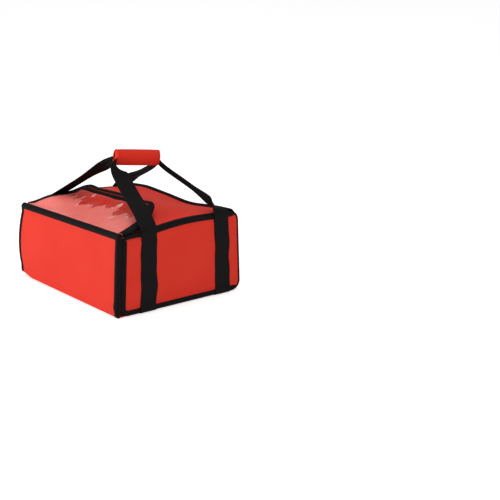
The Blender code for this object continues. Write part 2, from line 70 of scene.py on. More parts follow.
# How the filled bag stands: the frame's own rises and leans, then what the photograph shows beyond them
sag = {
    "floor": 0.027, "top": 0.1924, "front": bag["front"] + 0.0243, "back": bag["back"],
    "rightRise": 0.010, "rightHump": 0.017, "frontLean": 0.0085, "backLean": -0.005,
    "leftFront": -0.016, "leftRear": -0.015, "leftHump": 0.012, "leftBulge": 0.006, "frontBulge": 0.005,
    "cornerLift": 0.009, "cornerReach": 0.05, "cornerHeight": 0.07, "rightEdge": 0.008,
    "pillow": 0.012, "pillowEdge": 0.035, "pillowRight": (-0.185, 0.14), "pillowFront": 0.14,
    "pillowRear": (0.16, 0.26), "backWave": 0.010, "backDip": (0.055, 0.085), "backSwell": (-0.150, 0.060),
    "backReach": (0.45, 0.55),
}


def smooth(share):
    # 3s² − 2s³ of the share held between 0 and 1
    share = np.clip(share, 0.0, 1.0)
    return share * share * (3.0 - 2.0 * share)


def ramp(value, start, reach):
    # Smooth step from 0 at the start to 1 a reach further on
    return smooth((value - start) / reach)


def bell(value, middle, width):
    # exp(−((value − middle) / width)²)
    return np.exp(-((value - middle) / width) ** 2)


def quarterSine(share):
    # Sine of a quarter turn: steep at 0, level at 1
    return np.sin(np.clip(share, 0.0, 1.0) * math.pi / 2.0)


def ways(points):
    # Shares of the way leftwards, from front to back (v) and upwards, and the hump (1 − cos 2πv) / 2
    left = (1.0 - points[..., 0] / bag["halfWidth"]) / 2.0
    v = np.clip((points[..., 1] - sag["front"]) / (sag["back"] - sag["front"]), 0.0, 1.0)
    high = np.clip((points[..., 2] - sag["floor"]) / (sag["top"] - sag["floor"]), 0.0, 1.0)
    return left, v, high, (1.0 - np.cos(2.0 * math.pi * v)) / 2.0


def frameSettle(points):
    # The frame's settling: rise = height share × rightward share × (rear rise × v + hump), and a lean in of front
    # and back that grows with height
    points = np.array(points, float)
    left, v, high, hump = ways(points)
    points[..., 1] += high * (sag["frontLean"] * (1.0 - v) + sag["backLean"] * v)
    points[..., 2] += high * (1.0 - left) * (sag["rightRise"] * v + sag["rightHump"] * hump)
    return points


def unsettle(points):
    # Back from the frame's settled places to flat ones, by taking the move off again and again
    flat = np.array(points, float)
    for _ in range(8):
        flat = flat + (points - frameSettle(flat))
    return flat


def settle(points):
    # The frame's settling, then what the solids don't have: the left side's drop and hump, the pillow at its front
    # shoulder, the dip and swell of the rear edge, the right edge's hollow, a fuller front and left side, and the
    # lift of the front's lower left corner
    flat = np.array(points, float)
    points = frameSettle(flat)
    x, y, z = flat[..., 0], flat[..., 1], flat[..., 2]
    left, v, high, hump = ways(flat)
    rise = left * (sag["leftFront"] * (1.0 - v) + sag["leftRear"] * v + sag["leftHump"] * hump)
    pillow = quarterSine((x + bag["halfWidth"]) / sag["pillowEdge"]) * quarterSine(v / sag["pillowFront"])
    pillow = pillow * (1.0 - ramp(x, *sag["pillowRight"])) * (1.0 - ramp(v, *sag["pillowRear"]))
    wave = (bell(x, *sag["backDip"]) - 0.5 * bell(x, *sag["backSwell"])) * ramp(v, *sag["backReach"])
    edge = np.clip(1.0 - 2.0 * left, 0.0, 1.0) ** 2 * hump
    rise = rise + sag["pillow"] * pillow - sag["backWave"] * wave - sag["rightEdge"] * edge
    corner = smooth(1.0 - np.hypot(x + bag["halfWidth"], y - bag["front"]) / sag["cornerReach"])
    points[..., 2] += high * rise + sag["cornerLift"] * corner * (1.0 - smooth(z / sag["cornerHeight"]))
    belly = 4.0 * high * (1.0 - high)
    ahead = np.clip((bag["back"] - y) / (bag["back"] - bag["front"]), 0.0, 1.0)
    points[..., 1] -= belly * sag["frontBulge"] * ahead ** 2 * np.clip(left, 0.0, 1.0)
    points[..., 0] -= belly * sag["leftBulge"] * np.clip(2.0 * left - 1.0, 0.0, 1.0) ** 2
    return points


def ripple(a, b, seed, scale=1.0):
    # Sum of six sine waves of turned directions and growing frequency, from 0 to 1
    rng = np.random.default_rng(seed)
    total = np.zeros(np.broadcast(a, b).shape)
    for step in range(6):
        turn, phase = rng.uniform(0.0, math.pi), rng.uniform(0.0, 2.0 * math.pi)
        wave = scale * (26.0 + 17.0 * step)
        total = total + np.sin(wave * (a * math.cos(turn) + b * math.sin(turn)) + phase) / (1.0 + step)
    return 0.5 + total / 5.0


# A wave texture repeats every waveTurn / scale
waveTurn = math.pi / 10.0


# Colours and materials
def linear(hexColour):
    # sRGB hex to linear: ((c + 0.055) / 1.055)^2.4, or c / 12.92 for the darkest
    parts = [int(hexColour[i:i + 2], 16) / 255.0 for i in (1, 3, 5)]
    return tuple(c / 12.92 if c <= 0.04045 else ((c + 0.055) / 1.055) ** 2.4 for c in parts) + (1.0,)


def addNode(tree, kind, settings=None, links=None):
    # One node with its settings (attributes or input values) and its links, given as input: output socket
    node = tree.nodes.new(kind)
    for key, value in (settings or {}).items():
        if isinstance(key, str) and hasattr(node, key):
            setattr(node, key, value)
        else:
            node.inputs[key].default_value = value
    for key, socket in (links or {}).items():
        tree.links.new(socket, node.inputs[key])
    return node


def newMaterial(name, colour, roughness, settings=None):
    # A Principled material with its colour, roughness and other input values
    material = bpy.data.materials.new(name)
    material.use_nodes = True
    tree = material.node_tree
    shader = tree.nodes["Principled BSDF"]
    for key, value in {"Base Color": linear(colour), "Roughness": roughness, **(settings or {})}.items():
        shader.inputs[key].default_value = value
    return material, tree, shader


def finishThreads(tree, shader, height, strength, depth, cloudScale, detail, colours):
    # The threads stand out by their height, and a slow noise drifts the colour between two shades
    bump = addNode(tree, "ShaderNodeBump", {"Strength": strength, "Distance": depth}, {"Height": height})
    where = addNode(tree, "ShaderNodeTexCoord").outputs["Object"]
    cloud = addNode(tree, "ShaderNodeTexNoise", {"Scale": cloudScale, "Detail": detail}, {"Vector": where})
    shade = addNode(tree, "ShaderNodeMix", {"data_type": "RGBA", 6: linear(colours[0]), 7: linear(colours[1])},
                    {0: cloud.outputs["Fac"]})
    tree.links.new(bump.outputs["Normal"], shader.inputs["Normal"])
    tree.links.new(shade.outputs[2], shader.inputs["Base Color"])


def wovenCloth(name, dark, pale, roughness, thread, strength):
    # Plain weave: two crossed sine waves of the thread spacing on the piece's own UV, in metres
    material, tree, shader = newMaterial(name, pale, roughness, {"Specular IOR Level": 0.14})
    place = addNode(tree, "ShaderNodeUVMap").outputs["UV"]
    waves = [addNode(tree, "ShaderNodeTexWave", {"bands_direction": axis, "Scale": waveTurn / thread},
                     {"Vector": place}).outputs["Fac"] for axis in ("X", "Y")]
    height = addNode(tree, "ShaderNodeMath", {"operation": "ADD"}, {0: waves[0], 1: waves[1]})
    finishThreads(tree, shader, height.outputs[0], strength, thread * 0.5, 9.0, 3.0, (dark, pale))
    return material


def ribbedBand(name, dark, pale, roughness, rib, strength):
    # Grosgrain or webbing: ribs across the band, one every rib metres along it, on the band's own UV
    material, tree, shader = newMaterial(name, pale, roughness, {"Specular IOR Level": 0.12})
    place = addNode(tree, "ShaderNodeUVMap").outputs["UV"]
    wave = addNode(tree, "ShaderNodeTexWave", {"bands_direction": "Y", "Scale": waveTurn / rib, "Distortion": 0.6},
                   {"Vector": place})
    finishThreads(tree, shader, wave.outputs["Fac"], strength, rib * 0.3, 40.0, 2.0, (dark, pale))
    return material


print("materials")
# Coated polyester: plain weave under a thin matt coat, so it shows even colour with a broad dull gloss.
# Threads of 0.5 mm are drawn 1.6 mm wide, as they'd be too fine to show.
redCloth = wovenCloth("coated polyester", "#d62f20", "#df392a", 0.70, 0.0016, 0.22)
gripCloth = wovenCloth("coated polyester of the grip", "#d82c1b", "#e63524", 0.72, 0.0016, 0.30)
# Grosgrain edge tape of 13 mm: fine cross ribs, dull black
edgeTape = ribbedBand("grosgrain edge tape", "#090607", "#0f0b0c", 0.80, 0.0020, 0.35)
# Polypropylene webbing: coarse cross ribs, a slight gloss
webbingBand = ribbedBand("polypropylene webbing", "#080607", "#0f0c0d", 0.74, 0.0030, 0.55)
# Foil-faced lining cloth: grey silver, broad gloss
liningCloth = wovenCloth("foil-faced lining", "#b9bcc0", "#cfd2d5", 0.38, 0.0022, 0.30)
# Closed-cell polyethylene foam: white, matt
foamBoard = newMaterial("polyethylene foam", "#e6e4dd", 0.90)[0]
# Hook and loop tape: napped black, no gloss
hookLoop = newMaterial("hook and loop tape", "#151315", 0.95, {"Sheen Weight": 0.4})[0]
# Bonded polyester sewing thread: dark, a slight gloss
blackThread = newMaterial("bonded sewing thread", "#161213", 0.70, {"Specular IOR Level": 0.15})[0]
redThread = newMaterial("red sewing thread", "#9c1f17", 0.70, {"Specular IOR Level": 0.15})[0]


# The vinyl's colours and masks; its pale border lines are a painted highlight, mixed into the base colour
vinyl = {
    "colour": "#f5908a", "roughness": 0.32, "gloss": 0.2, "cover": 0.93, "milky": ("#ee6a62", "#ff8a80"),
    "deep": ("#c02b20", "#e03d30"), "glint": "#ffd2cd", "streaks": (30.0, 11.0, 1.0), "turn": 0.30,
    "reach": (0.040, 0.120), "amount": (-0.26, 0.16), "streakEdge": (0.545, 0.565), "paintedGlintEdge": (0.50, 0.54),
    "cloud": 26.0, "paintedGlintShare": (0.50, 0.60),
}


def vinylWindow():
    # Clear vinyl gone milky: pink over the red cloth, with dark jagged streaks 12 to 20 mm wide that run in from
    # its far edge where it clings, and a painted highlight along some of their borders: pale lines in the colour
    material, tree, shader = newMaterial("clear vinyl", vinyl["colour"], vinyl["roughness"],
                                         {"Specular IOR Level": vinyl["gloss"], "Alpha": vinyl["cover"]})
    place = addNode(tree, "ShaderNodeUVMap").outputs["UV"]
    stretched = addNode(tree, "ShaderNodeMapping",
                        {"Scale": vinyl["streaks"], "Rotation": (0.0, 0.0, vinyl["turn"])}, {"Vector": place})
    jags = addNode(tree, "ShaderNodeTexNoise", {"Scale": 1.0, "Detail": 5.0, "Roughness": 0.60},
                   {"Vector": stretched.outputs[0]})
    apart = addNode(tree, "ShaderNodeSeparateXYZ", None, {0: place})
    cloud = addNode(tree, "ShaderNodeTexNoise", {"Scale": vinyl["cloud"], "Detail": 4.0}, {"Vector": place})
    # Streaks start where noise + nearness to the far edge passes a level
    (near, far), (few, many) = vinyl["reach"], vinyl["amount"]
    edge = addNode(tree, "ShaderNodeMapRange", {"From Min": near, "From Max": far, "To Min": few, "To Max": many},
                   {"Value": apart.outputs["Y"]})
    total = addNode(tree, "ShaderNodeMath", {"operation": "ADD"}, {0: jags.outputs["Fac"], 1: edge.outputs[0]})
    dark, rim, some = [addNode(tree, "ShaderNodeMapRange", {"From Min": vinyl[key][0], "From Max": vinyl[key][1]},
                               {"Value": value}).outputs[0]
                       for key, value in (("streakEdge", total.outputs[0]), ("paintedGlintEdge", total.outputs[0]),
                                          ("paintedGlintShare", cloud.outputs["Fac"]))]
    # Painted highlight: a band at the streaks' borders, kept only where the cloud is high
    glint = addNode(tree, "ShaderNodeMath", {"operation": "MULTIPLY"}, {0: rim, 1: some})
    milky, deep = [addNode(tree, "ShaderNodeMix", {"data_type": "RGBA", 6: linear(first), 7: linear(second)},
                           {0: cloud.outputs["Fac"]}).outputs[2]
                   for first, second in (vinyl["milky"], vinyl["deep"])]
    # The painted highlight's pale colour mixed into the milky colour
    lit = addNode(tree, "ShaderNodeMix", {"data_type": "RGBA", 7: linear(vinyl["glint"])},
                  {0: glint.outputs[0], 6: milky})
    mix = addNode(tree, "ShaderNodeMix", {"data_type": "RGBA"}, {0: dark, 6: lit.outputs[2], 7: deep})
    tree.links.new(mix.outputs[2], shader.inputs["Base Color"])
    return material


clearVinyl = vinylWindow()


# Meshes
def gridFaces(rows, columns, closeRows=False, closeColumns=False):
    # Squares of a grid numbered row by row
    r, c = np.meshgrid(np.arange(rows - (not closeRows)), np.arange(columns - (not closeColumns)), indexing="ij")
    above, beside = (r + 1) % rows, (c + 1) % columns
    corners = (r * columns + c, r * columns + beside, above * columns + beside, above * columns + c)
    return np.stack(corners, axis=-1).reshape(-1, 4)


def gridLengths(points):
    # UV in metres: the middle column's length along the rows, the middle row's along the columns
    rows, columns = points.shape[:2]
    along = np.linalg.norm(np.diff(points[:, columns // 2], axis=0), axis=1)
    across = np.linalg.norm(np.diff(points[rows // 2], axis=0), axis=1)
    v = np.concatenate([[0.0], np.cumsum(along)])
    u = np.concatenate([[0.0], np.cumsum(across)])
    return np.stack(np.broadcast_arrays(u[None, :] - u[-1] / 2.0, v[:, None]), axis=-1)


def newObject(name, data):
    # An object at the origin, in the scene's own collection
    item = bpy.data.objects.new(name, data)
    bpy.context.scene.collection.objects.link(item)
    return item


def setUv(mesh, uv):
    # Each face corner takes the UV of its own point
    loops = np.empty(len(mesh.loops), np.int32)
    mesh.loops.foreach_get("vertex_index", loops)
    layer = mesh.uv_layers.get("UVMap") or mesh.uv_layers.new(name="UVMap")
    layer.data.foreach_set("uv", np.asarray(uv, np.float32).reshape(-1, 2)[loops].ravel())


def smoothShade(mesh, sharp):
    # Smooth shading, but for edges sharper than an angle in degrees
    mesh.shade_smooth()
    mesh.set_sharp_from_angle(angle=math.radians(sharp))


def meshPiece(name, points, faces, material, uv=None, thickness=0.0):
    # A surface that gets its wall half to each side, and whose faces are then turned outwards
    mesh = bpy.data.meshes.new(name)
    mesh.from_pydata(np.asarray(points, float).reshape(-1, 3).tolist(), [], [list(face) for face in faces])
    if uv is not None:
        setUv(mesh, uv)
    mesh.materials.append(material)
    piece = newObject(name, mesh)
    if thickness:
        solid = piece.modifiers.new("thickness", "SOLIDIFY")
        solid.thickness = thickness
        solid.offset = 0.0
        bpy.context.view_layer.update()
        shown = piece.evaluated_get(bpy.context.evaluated_depsgraph_get())
        piece.data = bpy.data.meshes.new_from_object(shown)
        piece.modifiers.clear()
    work = bmesh.new()
    work.from_mesh(piece.data)
    bmesh.ops.recalc_face_normals(work, faces=work.faces)
    work.to_mesh(piece.data)
    work.free()
    smoothShade(piece.data, 50.0)
    return piece


def place(piece, slot, nodes, body=None, bend=None):
    # Hides the nodes that a piece stands for and joins it to its body; with a bend, it only bakes its transform.
    # The slot is not used
    if nodes:
        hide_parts(*nodes)
    if bend:
        first, second, start, end = bend
        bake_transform(piece)
    else:
        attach(piece, body)
    return piece


def clothPiece(name, points, material, slot, nodes, body=None, bend=None, thickness=0.0009, closeRows=False):
    # A grid of points as one thick cloth, tape or band, with its UV in metres
    rows, columns = points.shape[:2]
    uv = gridLengths(points)
    piece = meshPiece(name, points, gridFaces(rows, columns, closeRows), material, uv, thickness)
    return place(piece, slot, nodes, body, bend)


stitch = {"length": 0.0034, "pitch": 0.0058, "radius": 0.00042, "probe": 0.001}


def stitchRow(path, outward):
    # Stitches as small six-sided spindles: centre + tangent × t + side × r cos a + outward × r sin a
    reach = np.concatenate([[0.0], np.cumsum(np.linalg.norm(np.diff(path, axis=0), axis=1))])
    spots = np.arange(stitch["pitch"] / 2.0, reach[-1], stitch["pitch"])

    def along(values, shift=0.0):
        # Values read off the path at each stitch, or a little before or past it
        return np.stack([np.interp(spots + shift, reach, values[:, k]) for k in range(3)], axis=1)

    centre = along(path)
    tangent = along(path, stitch["probe"]) - along(path, -stitch["probe"])
    tangent /= np.linalg.norm(tangent, axis=1, keepdims=True) + 1e-12
    normal = along(np.broadcast_to(np.asarray(outward, float), path.shape))
    normal -= (normal * tangent).sum(axis=1, keepdims=True) * tangent
    normal /= np.linalg.norm(normal, axis=1, keepdims=True)
    beside = np.cross(tangent, normal)
    t = np.array([-0.5, -0.42, 0.0, 0.42, 0.5]) * stitch["length"]
    r = np.array([0.25, 0.8, 1.0, 0.8, 0.25])[:, None] * stitch["radius"]
    a = np.radians(np.arange(6) * 60.0)
    points = (centre[:, None, None] + tangent[:, None, None] * t[None, :, None, None]
              + beside[:, None, None] * (r * np.cos(a))[None, :, :, None]
              + normal[:, None, None] * (r * np.sin(a))[None, :, :, None])
    caps = [[0, 5, 4, 3], [0, 3, 2, 1], [24, 25, 26, 27], [24, 27, 28, 29]]
    one = np.vstack([gridFaces(5, 6, closeColumns=True), caps])
    faces = (np.arange(len(spots)) * 30)[:, None, None] + one[None]
    return points.reshape(-1, 3), faces.reshape(-1, 4)


def stitchPiece(name, rows, material, slot, body):
    # All rows of stitches on one body as one piece
    points, faces, count = [], [], 0
    for rowPoints, rowFaces in rows:
        points.append(rowPoints)
        faces.append(rowFaces + count)
        count += len(rowPoints)
    piece = meshPiece(name, np.vstack(points), np.vstack(faces), material)
    return place(piece, slot, [], body)


def turned(centre, radius, start, end, steps):
    # Arc in y and z: centre + radius × (cos a, sin a), with its outward directions
    angles = np.radians(np.linspace(start, end, steps))
    out = np.stack([np.cos(angles), np.sin(angles)], axis=1)
    return np.array(centre) + radius * out, out


def straight(start, end, out, steps):
    # Straight run between two points, without its ends
    share = np.linspace(0.0, 1.0, steps + 2)[1:-1, None]
    places = np.array(start) * (1.0 - share) + np.array(end) * share
    return places, np.tile(np.array(out, float), (steps, 1))


def joined(*parts):
    # Runs of a path, each with its outward directions, end to end
    return np.vstack([part[0] for part in parts]), np.vstack([part[1] for part in parts])


def acrossBag(path, out, columns, level):
    # A path carried across the bag, x from −half to half, and raised level(x, row) metres outward
    x = np.linspace(-half, half, columns)
    lift = level(x[None, :], np.arange(len(path))[:, None])
    points = np.empty((len(path), columns, 3))
    points[..., 0] = x
    points[..., 1] = path[:, 0, None] + out[:, 0, None] * lift
    points[..., 2] = path[:, 1, None] + out[:, 1, None] * lift
    return points


print("body")
shell = {
    "columns": 60, "cloth": 0.0009, "wrinkle": 0.0016, "belly": 0.004, "wall": 0.0116, "foldRadius": 0.006,
    "frontSet": 0.0069, "tuck": 0.0014, "tuckWidth": (0.016, 0.010), "tuckDepth": (0.030, 0.020),
}
half = bag["halfWidth"]
lowAxis = (bag["front"] + shell["frontSet"], bag["floor"] + shell["foldRadius"])
rear = bag["rearRadius"]
liningHalf = half - shell["wall"]


def lidRise(x, y):
    # Crown: parabola across × squared parabola front to back
    low, high = bag["lidFront"] + bag["tapeWidth"], bag["back"] - rear
    across = np.clip(1.0 - (x / liningHalf) ** 2, 0.0, 1.0)
    along = np.clip(1.0 - ((2.0 * y - low - high) / (high - low)) ** 2, 0.0, 1.0)
    return bag["crown"] * across * along ** 2


def borderFade(distance, reach=0.03):
    # Nothing at a taped border, all of it a little inside
    return smooth(distance / reach)


def makeBody():
    # Bottom and back in one path across the bag, with a small swell: parabola across and ripples
    back, lid, floor = bag["back"], bag["lid"], bag["floor"]
    path, out = joined(turned(lowAxis, shell["foldRadius"], 180, 270, 6),
                       straight((lowAxis[0], floor), (back - rear, floor), (0, -1), 30),
                       turned((back - rear, floor + rear), rear, 270, 360, 9),
                       straight((back, floor + rear), (back, lid - rear), (1, 0), 24),
                       turned((back - rear, lid - rear), rear, 0, 71, 9))

    def level(x, row):
        # Parabola across + ripples, both fading out at the taped borders
        z = path[row, 1]
        inside = borderFade(half - np.abs(x)) * borderFade(z - 0.02) * borderFade(lid - z)
        swell = shell["belly"] * np.clip(1 - (x / half) ** 2, 0, 1) + shell["wrinkle"] * ripple(x, z, 3)
        return 0.0002 + inside * swell

    points = settle(acrossBag(path, out, shell["columns"], level))
    piece = clothPiece("bodyCloth", points, redCloth, "red_cloth", ["body_cloth"], "bag", thickness=shell["cloth"])

    # The lid, from the rear bend to the mouth, with its crown; its front corners tuck in under the tapes
    front = bag["lidFront"]
    path, out = joined(turned((back - rear, lid - rear), rear, 73, 90, 6),
                       straight((back - rear, lid), (front, lid), (0, 1), 40),
                       (np.array([[front, lid]]), np.array([[0.0, 1.0]])))
    (fromSide, sideReach), (fromMouth, mouthReach) = shell["tuckWidth"], shell["tuckDepth"]

    def lidLevel(x, row):
        # Crown + ripples that fade out at the borders − the tuck of the two front corners
        y = path[row, 0]
        inside = borderFade(half - np.abs(x)) * borderFade(y - front) * borderFade(back - y)
        corner = ramp(np.abs(x), half - fromSide, sideReach) * smooth((front + fromMouth - y) / mouthReach)
        wrinkle = inside * shell["wrinkle"] * ripple(x, y, 8, 0.8)
        return 0.0002 + lidRise(x, y) + wrinkle - shell["tuck"] * corner

    points = settle(acrossBag(path, out, shell["columns"], lidLevel))
    piece = clothPiece("lidCloth", points, redCloth, "red_cloth", ["lid_cloth"], "bag", thickness=shell["cloth"])


makeBody()

print("sides")
side = {
    "bulge": 0.006, "wrinkle": 0.0022, "rings": 30, "steps": 50, "inset": 0.0018, "strapFold": 0.0012,
    "foldFromStrap": 0.033, "foldWidth": 0.012, "nearNarrowing": 0.42, "mouthTurn": 0.0006, "stitchInset": 0.0105,
    "stitchShift": 0.0085,
}


def outline(inset):
    # A side panel's rounded outline in y and z, inset by a distance, with its outward directions
    steps = side["steps"]
    low, high = bag["mouth"] + inset, bag["back"] - inset
    floor, top = bag["floor"] + inset, bag["lid"] - inset
    radii = [max(r - inset, 0.002) for r in (bag["lowFrontRadius"], rear, rear, bag["topFrontRadius"])]
    centres = [(low + radii[0], floor + radii[0]), (high - radii[1], floor + radii[1]),
               (high - radii[2], top - radii[2]), (low + radii[3], top - radii[3])]
    arcs = [turned(c, r, start, start + 90, 9) for c, r, start in zip(centres, radii, (180, 270, 0, 90))]
    parts = []
    for i in range(4):
        following = arcs[(i + 1) % 4]
        parts.append(arcs[i])
        parts.append(straight(arcs[i][0][-1], following[0][0], arcs[i][1][-1], (steps // 2) if i % 2 else steps))
    return joined(*parts)


def sideSwell(y, z, word):
    # Outward swell: product of two parabolas inside the tape, and soft upright folds beside the straps
    reach = bag["tapeWidth"]
    along = np.clip((y - bag["mouth"] - reach) * (bag["back"] - reach - y) / 0.0317, 0.0, 1.0)
    upright = np.clip((z - bag["floor"] - reach) * (bag["lid"] - reach - z) / 0.0079, 0.0, 1.0)
    fold = 0.0
    for strap in (handles["front"], handles["rear"]):
        fold = fold + side["strapFold"] * bell(np.abs(y - strap), side["foldFromStrap"], side["foldWidth"])
    inside = smooth(along * 4.0) * smooth(upright * 4.0)
    wrinkle = side["wrinkle"] * ripple(y, z, 21 + len(word), 0.8)
    return side["bulge"] * along * upright + inside * (wrinkle + fold)


handles = {
    "front": -0.099, "rear": 0.135, "width": 0.048, "thickness": 0.0017, "blend": 0.012, "wave": 0.0012,
    "cup": 0.0006, "overTape": 0.0030, "columns": 9, "stitchLift": 0.0010,
}


def makeSide(direction, word):
    # The cloth: the outline drawn in ring by ring to its middle, and swelled outwards
    loop, _ = outline(side["inset"])
    middle = loop.mean(axis=0)
    rings = np.linspace(1.0, 0.0, side["rings"])[:-1]
    flat = np.vstack([(middle + rings[:, None, None] * (loop - middle)[None]).reshape(-1, 2), middle[None]])
    x = direction * (half + 0.0001 + sideSwell(flat[:, 0], flat[:, 1], word))
    points = settle(np.column_stack([x, flat]))
    count = len(loop)
    quads = gridFaces(len(rings), count, closeColumns=True)
    last, spot = (len(rings) - 1) * count, np.arange(count)
    fan = np.stack([last + spot, last + (spot + 1) % count, np.full(count, len(flat) - 1)], axis=-1)
    piece = meshPiece(f"sideCloth{word}", points, quads.tolist() + fan.tolist(), redCloth, flat, shell["cloth"])
    place(piece, "red_cloth", [f"side_cloth_{word.lower()}"], "bag")

    # The edge tape: a section of insets (second, along the rear edge) and heights, carried round the outline. It
    # lies over the side's border and folds onto lid and bottom. Down the rear edge it lies mostly on the back, at
    # the mouth it only turns in, and it is narrower near the front fold.
    section = [(bag["tapeWidth"], 0.0035, 0.0005), (0.0110, 0.0030, 0.0012), (0.0065, 0.0018, 0.0019),
               (0.0020, 0.0004, 0.0015), (0.0, -0.0008, 0.0008), (-0.0010, -0.0010, -0.0008),
               (-0.0013, -0.0013, -0.0045), (-0.0013, -0.0013, -0.0080), (-0.0010, -0.0010, -0.0112)]
    path, out = outline(0.0)
    mouth, behind = ramp(-out[:, 0], 0.2, 0.5), ramp(out[:, 0], 0.35, 0.5)
    nearFold = ramp(out[:, 1], 0.5, 0.3) * (1.0 - ramp(path[:, 0], bag["mouth"] + 0.02, 0.07))
    grid = []
    for inset, rearInset, stand in section:
        first, second = outline(max(inset, 0.0))[0], outline(max(rearInset, 0.0))[0]
        kept = first * (1.0 - behind)[:, None] + second * behind[:, None]
        inward = inset + (rearInset - inset) * behind
        beyond = np.minimum(side["mouthTurn"] * mouth + inward * (1.0 - mouth), 0.0)
        outward = side["nearNarrowing"] * max(inset, 0.0) * nearFold - beyond
        outward = outward - side["mouthTurn"] * mouth * (stand < 0)
        x = direction * (half + 0.0004 + np.maximum(stand, -0.0060) * mouth + stand * (1.0 - mouth))
        grid.append(np.column_stack([x, kept + out * outward[:, None]]))
    clothPiece(f"sideTape{word}", settle(np.stack(grid, axis=1)), edgeTape, "black_tape",
               [f"side_tape_{word.lower()}"], "bag", thickness=bag["tapeThickness"], closeRows=True)
    path, out = outline(side["stitchInset"])
    path = path + out * (side["stitchShift"] * ramp(out[:, 0], 0.35, 0.5))[:, None]
    points = settle(np.column_stack([np.full(len(path), direction * (half + 0.0020)), path]))
    return stitchRow(np.vstack([points, points[:1]]), (direction, 0.0, 0.0))


sideStitches = [makeSide(1, "Right"), makeSide(-1, "Left")]


def makeBackTape():
    # A domed strip along the rear top bend: angle across it, from end to end of the bag
    degrees = np.linspace(57, 102, 9)
    dome = np.array([0.0, 0.0010, 0.0022, 0.0038, 0.0052, 0.0060, 0.0060, 0.0044, 0.0008])
    centre = (bag["back"] - rear, bag["lid"] - rear)
    path, out = turned(centre, rear + 0.0012, degrees[0], degrees[-1], 9)
    points = settle(acrossBag(path, out, shell["columns"], lambda x, row: dome[row] + 0.0 * x))
    clothPiece("backTopTape", points, edgeTape, "black_tape", ["back_top_tape"], "bag",
               thickness=bag["tapeThickness"])


makeBackTape()
stitchPiece("bodyStitches", sideStitches, blackThread, "black_tape", "bag")


print("front wall")
front = {
    "swell": 0.0035, "wrinkle": 0.0018, "fullerLeft": 0.8, "tapeDrop": 0.0045, "topRadius": 0.008,
    "footRadius": 0.0073, "bunch": 0.002, "bunchPlace": (0.030, 0.012), "footTuck": 0.010,
}
topRadius, footRadius = front["topRadius"], front["footRadius"]
topAxis = (bag["front"] + topRadius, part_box("fold_tape")[1].z - topRadius)


def frontSwell(x, z):
    # Outward swell: flat-topped across, parabola upwards, with soft waves and a fuller lower left
    across = 1.0 - np.clip(np.abs(x) / half, 0.0, 1.0) ** 4
    upright = np.clip((z - 0.012) * (topAxis[1] - 0.012 - z) / 0.0081, 0.0, 1.0)
    fuller = 1.0 + front["fullerLeft"] * smooth(-x / half) * smooth((0.13 - z) / 0.1)
    inside = borderFade(half - np.abs(x), 0.02) * smooth(upright * 5.0)
    return front["swell"] * across * upright * fuller + inside * front["wrinkle"] * ripple(x, z, 31, 0.7)


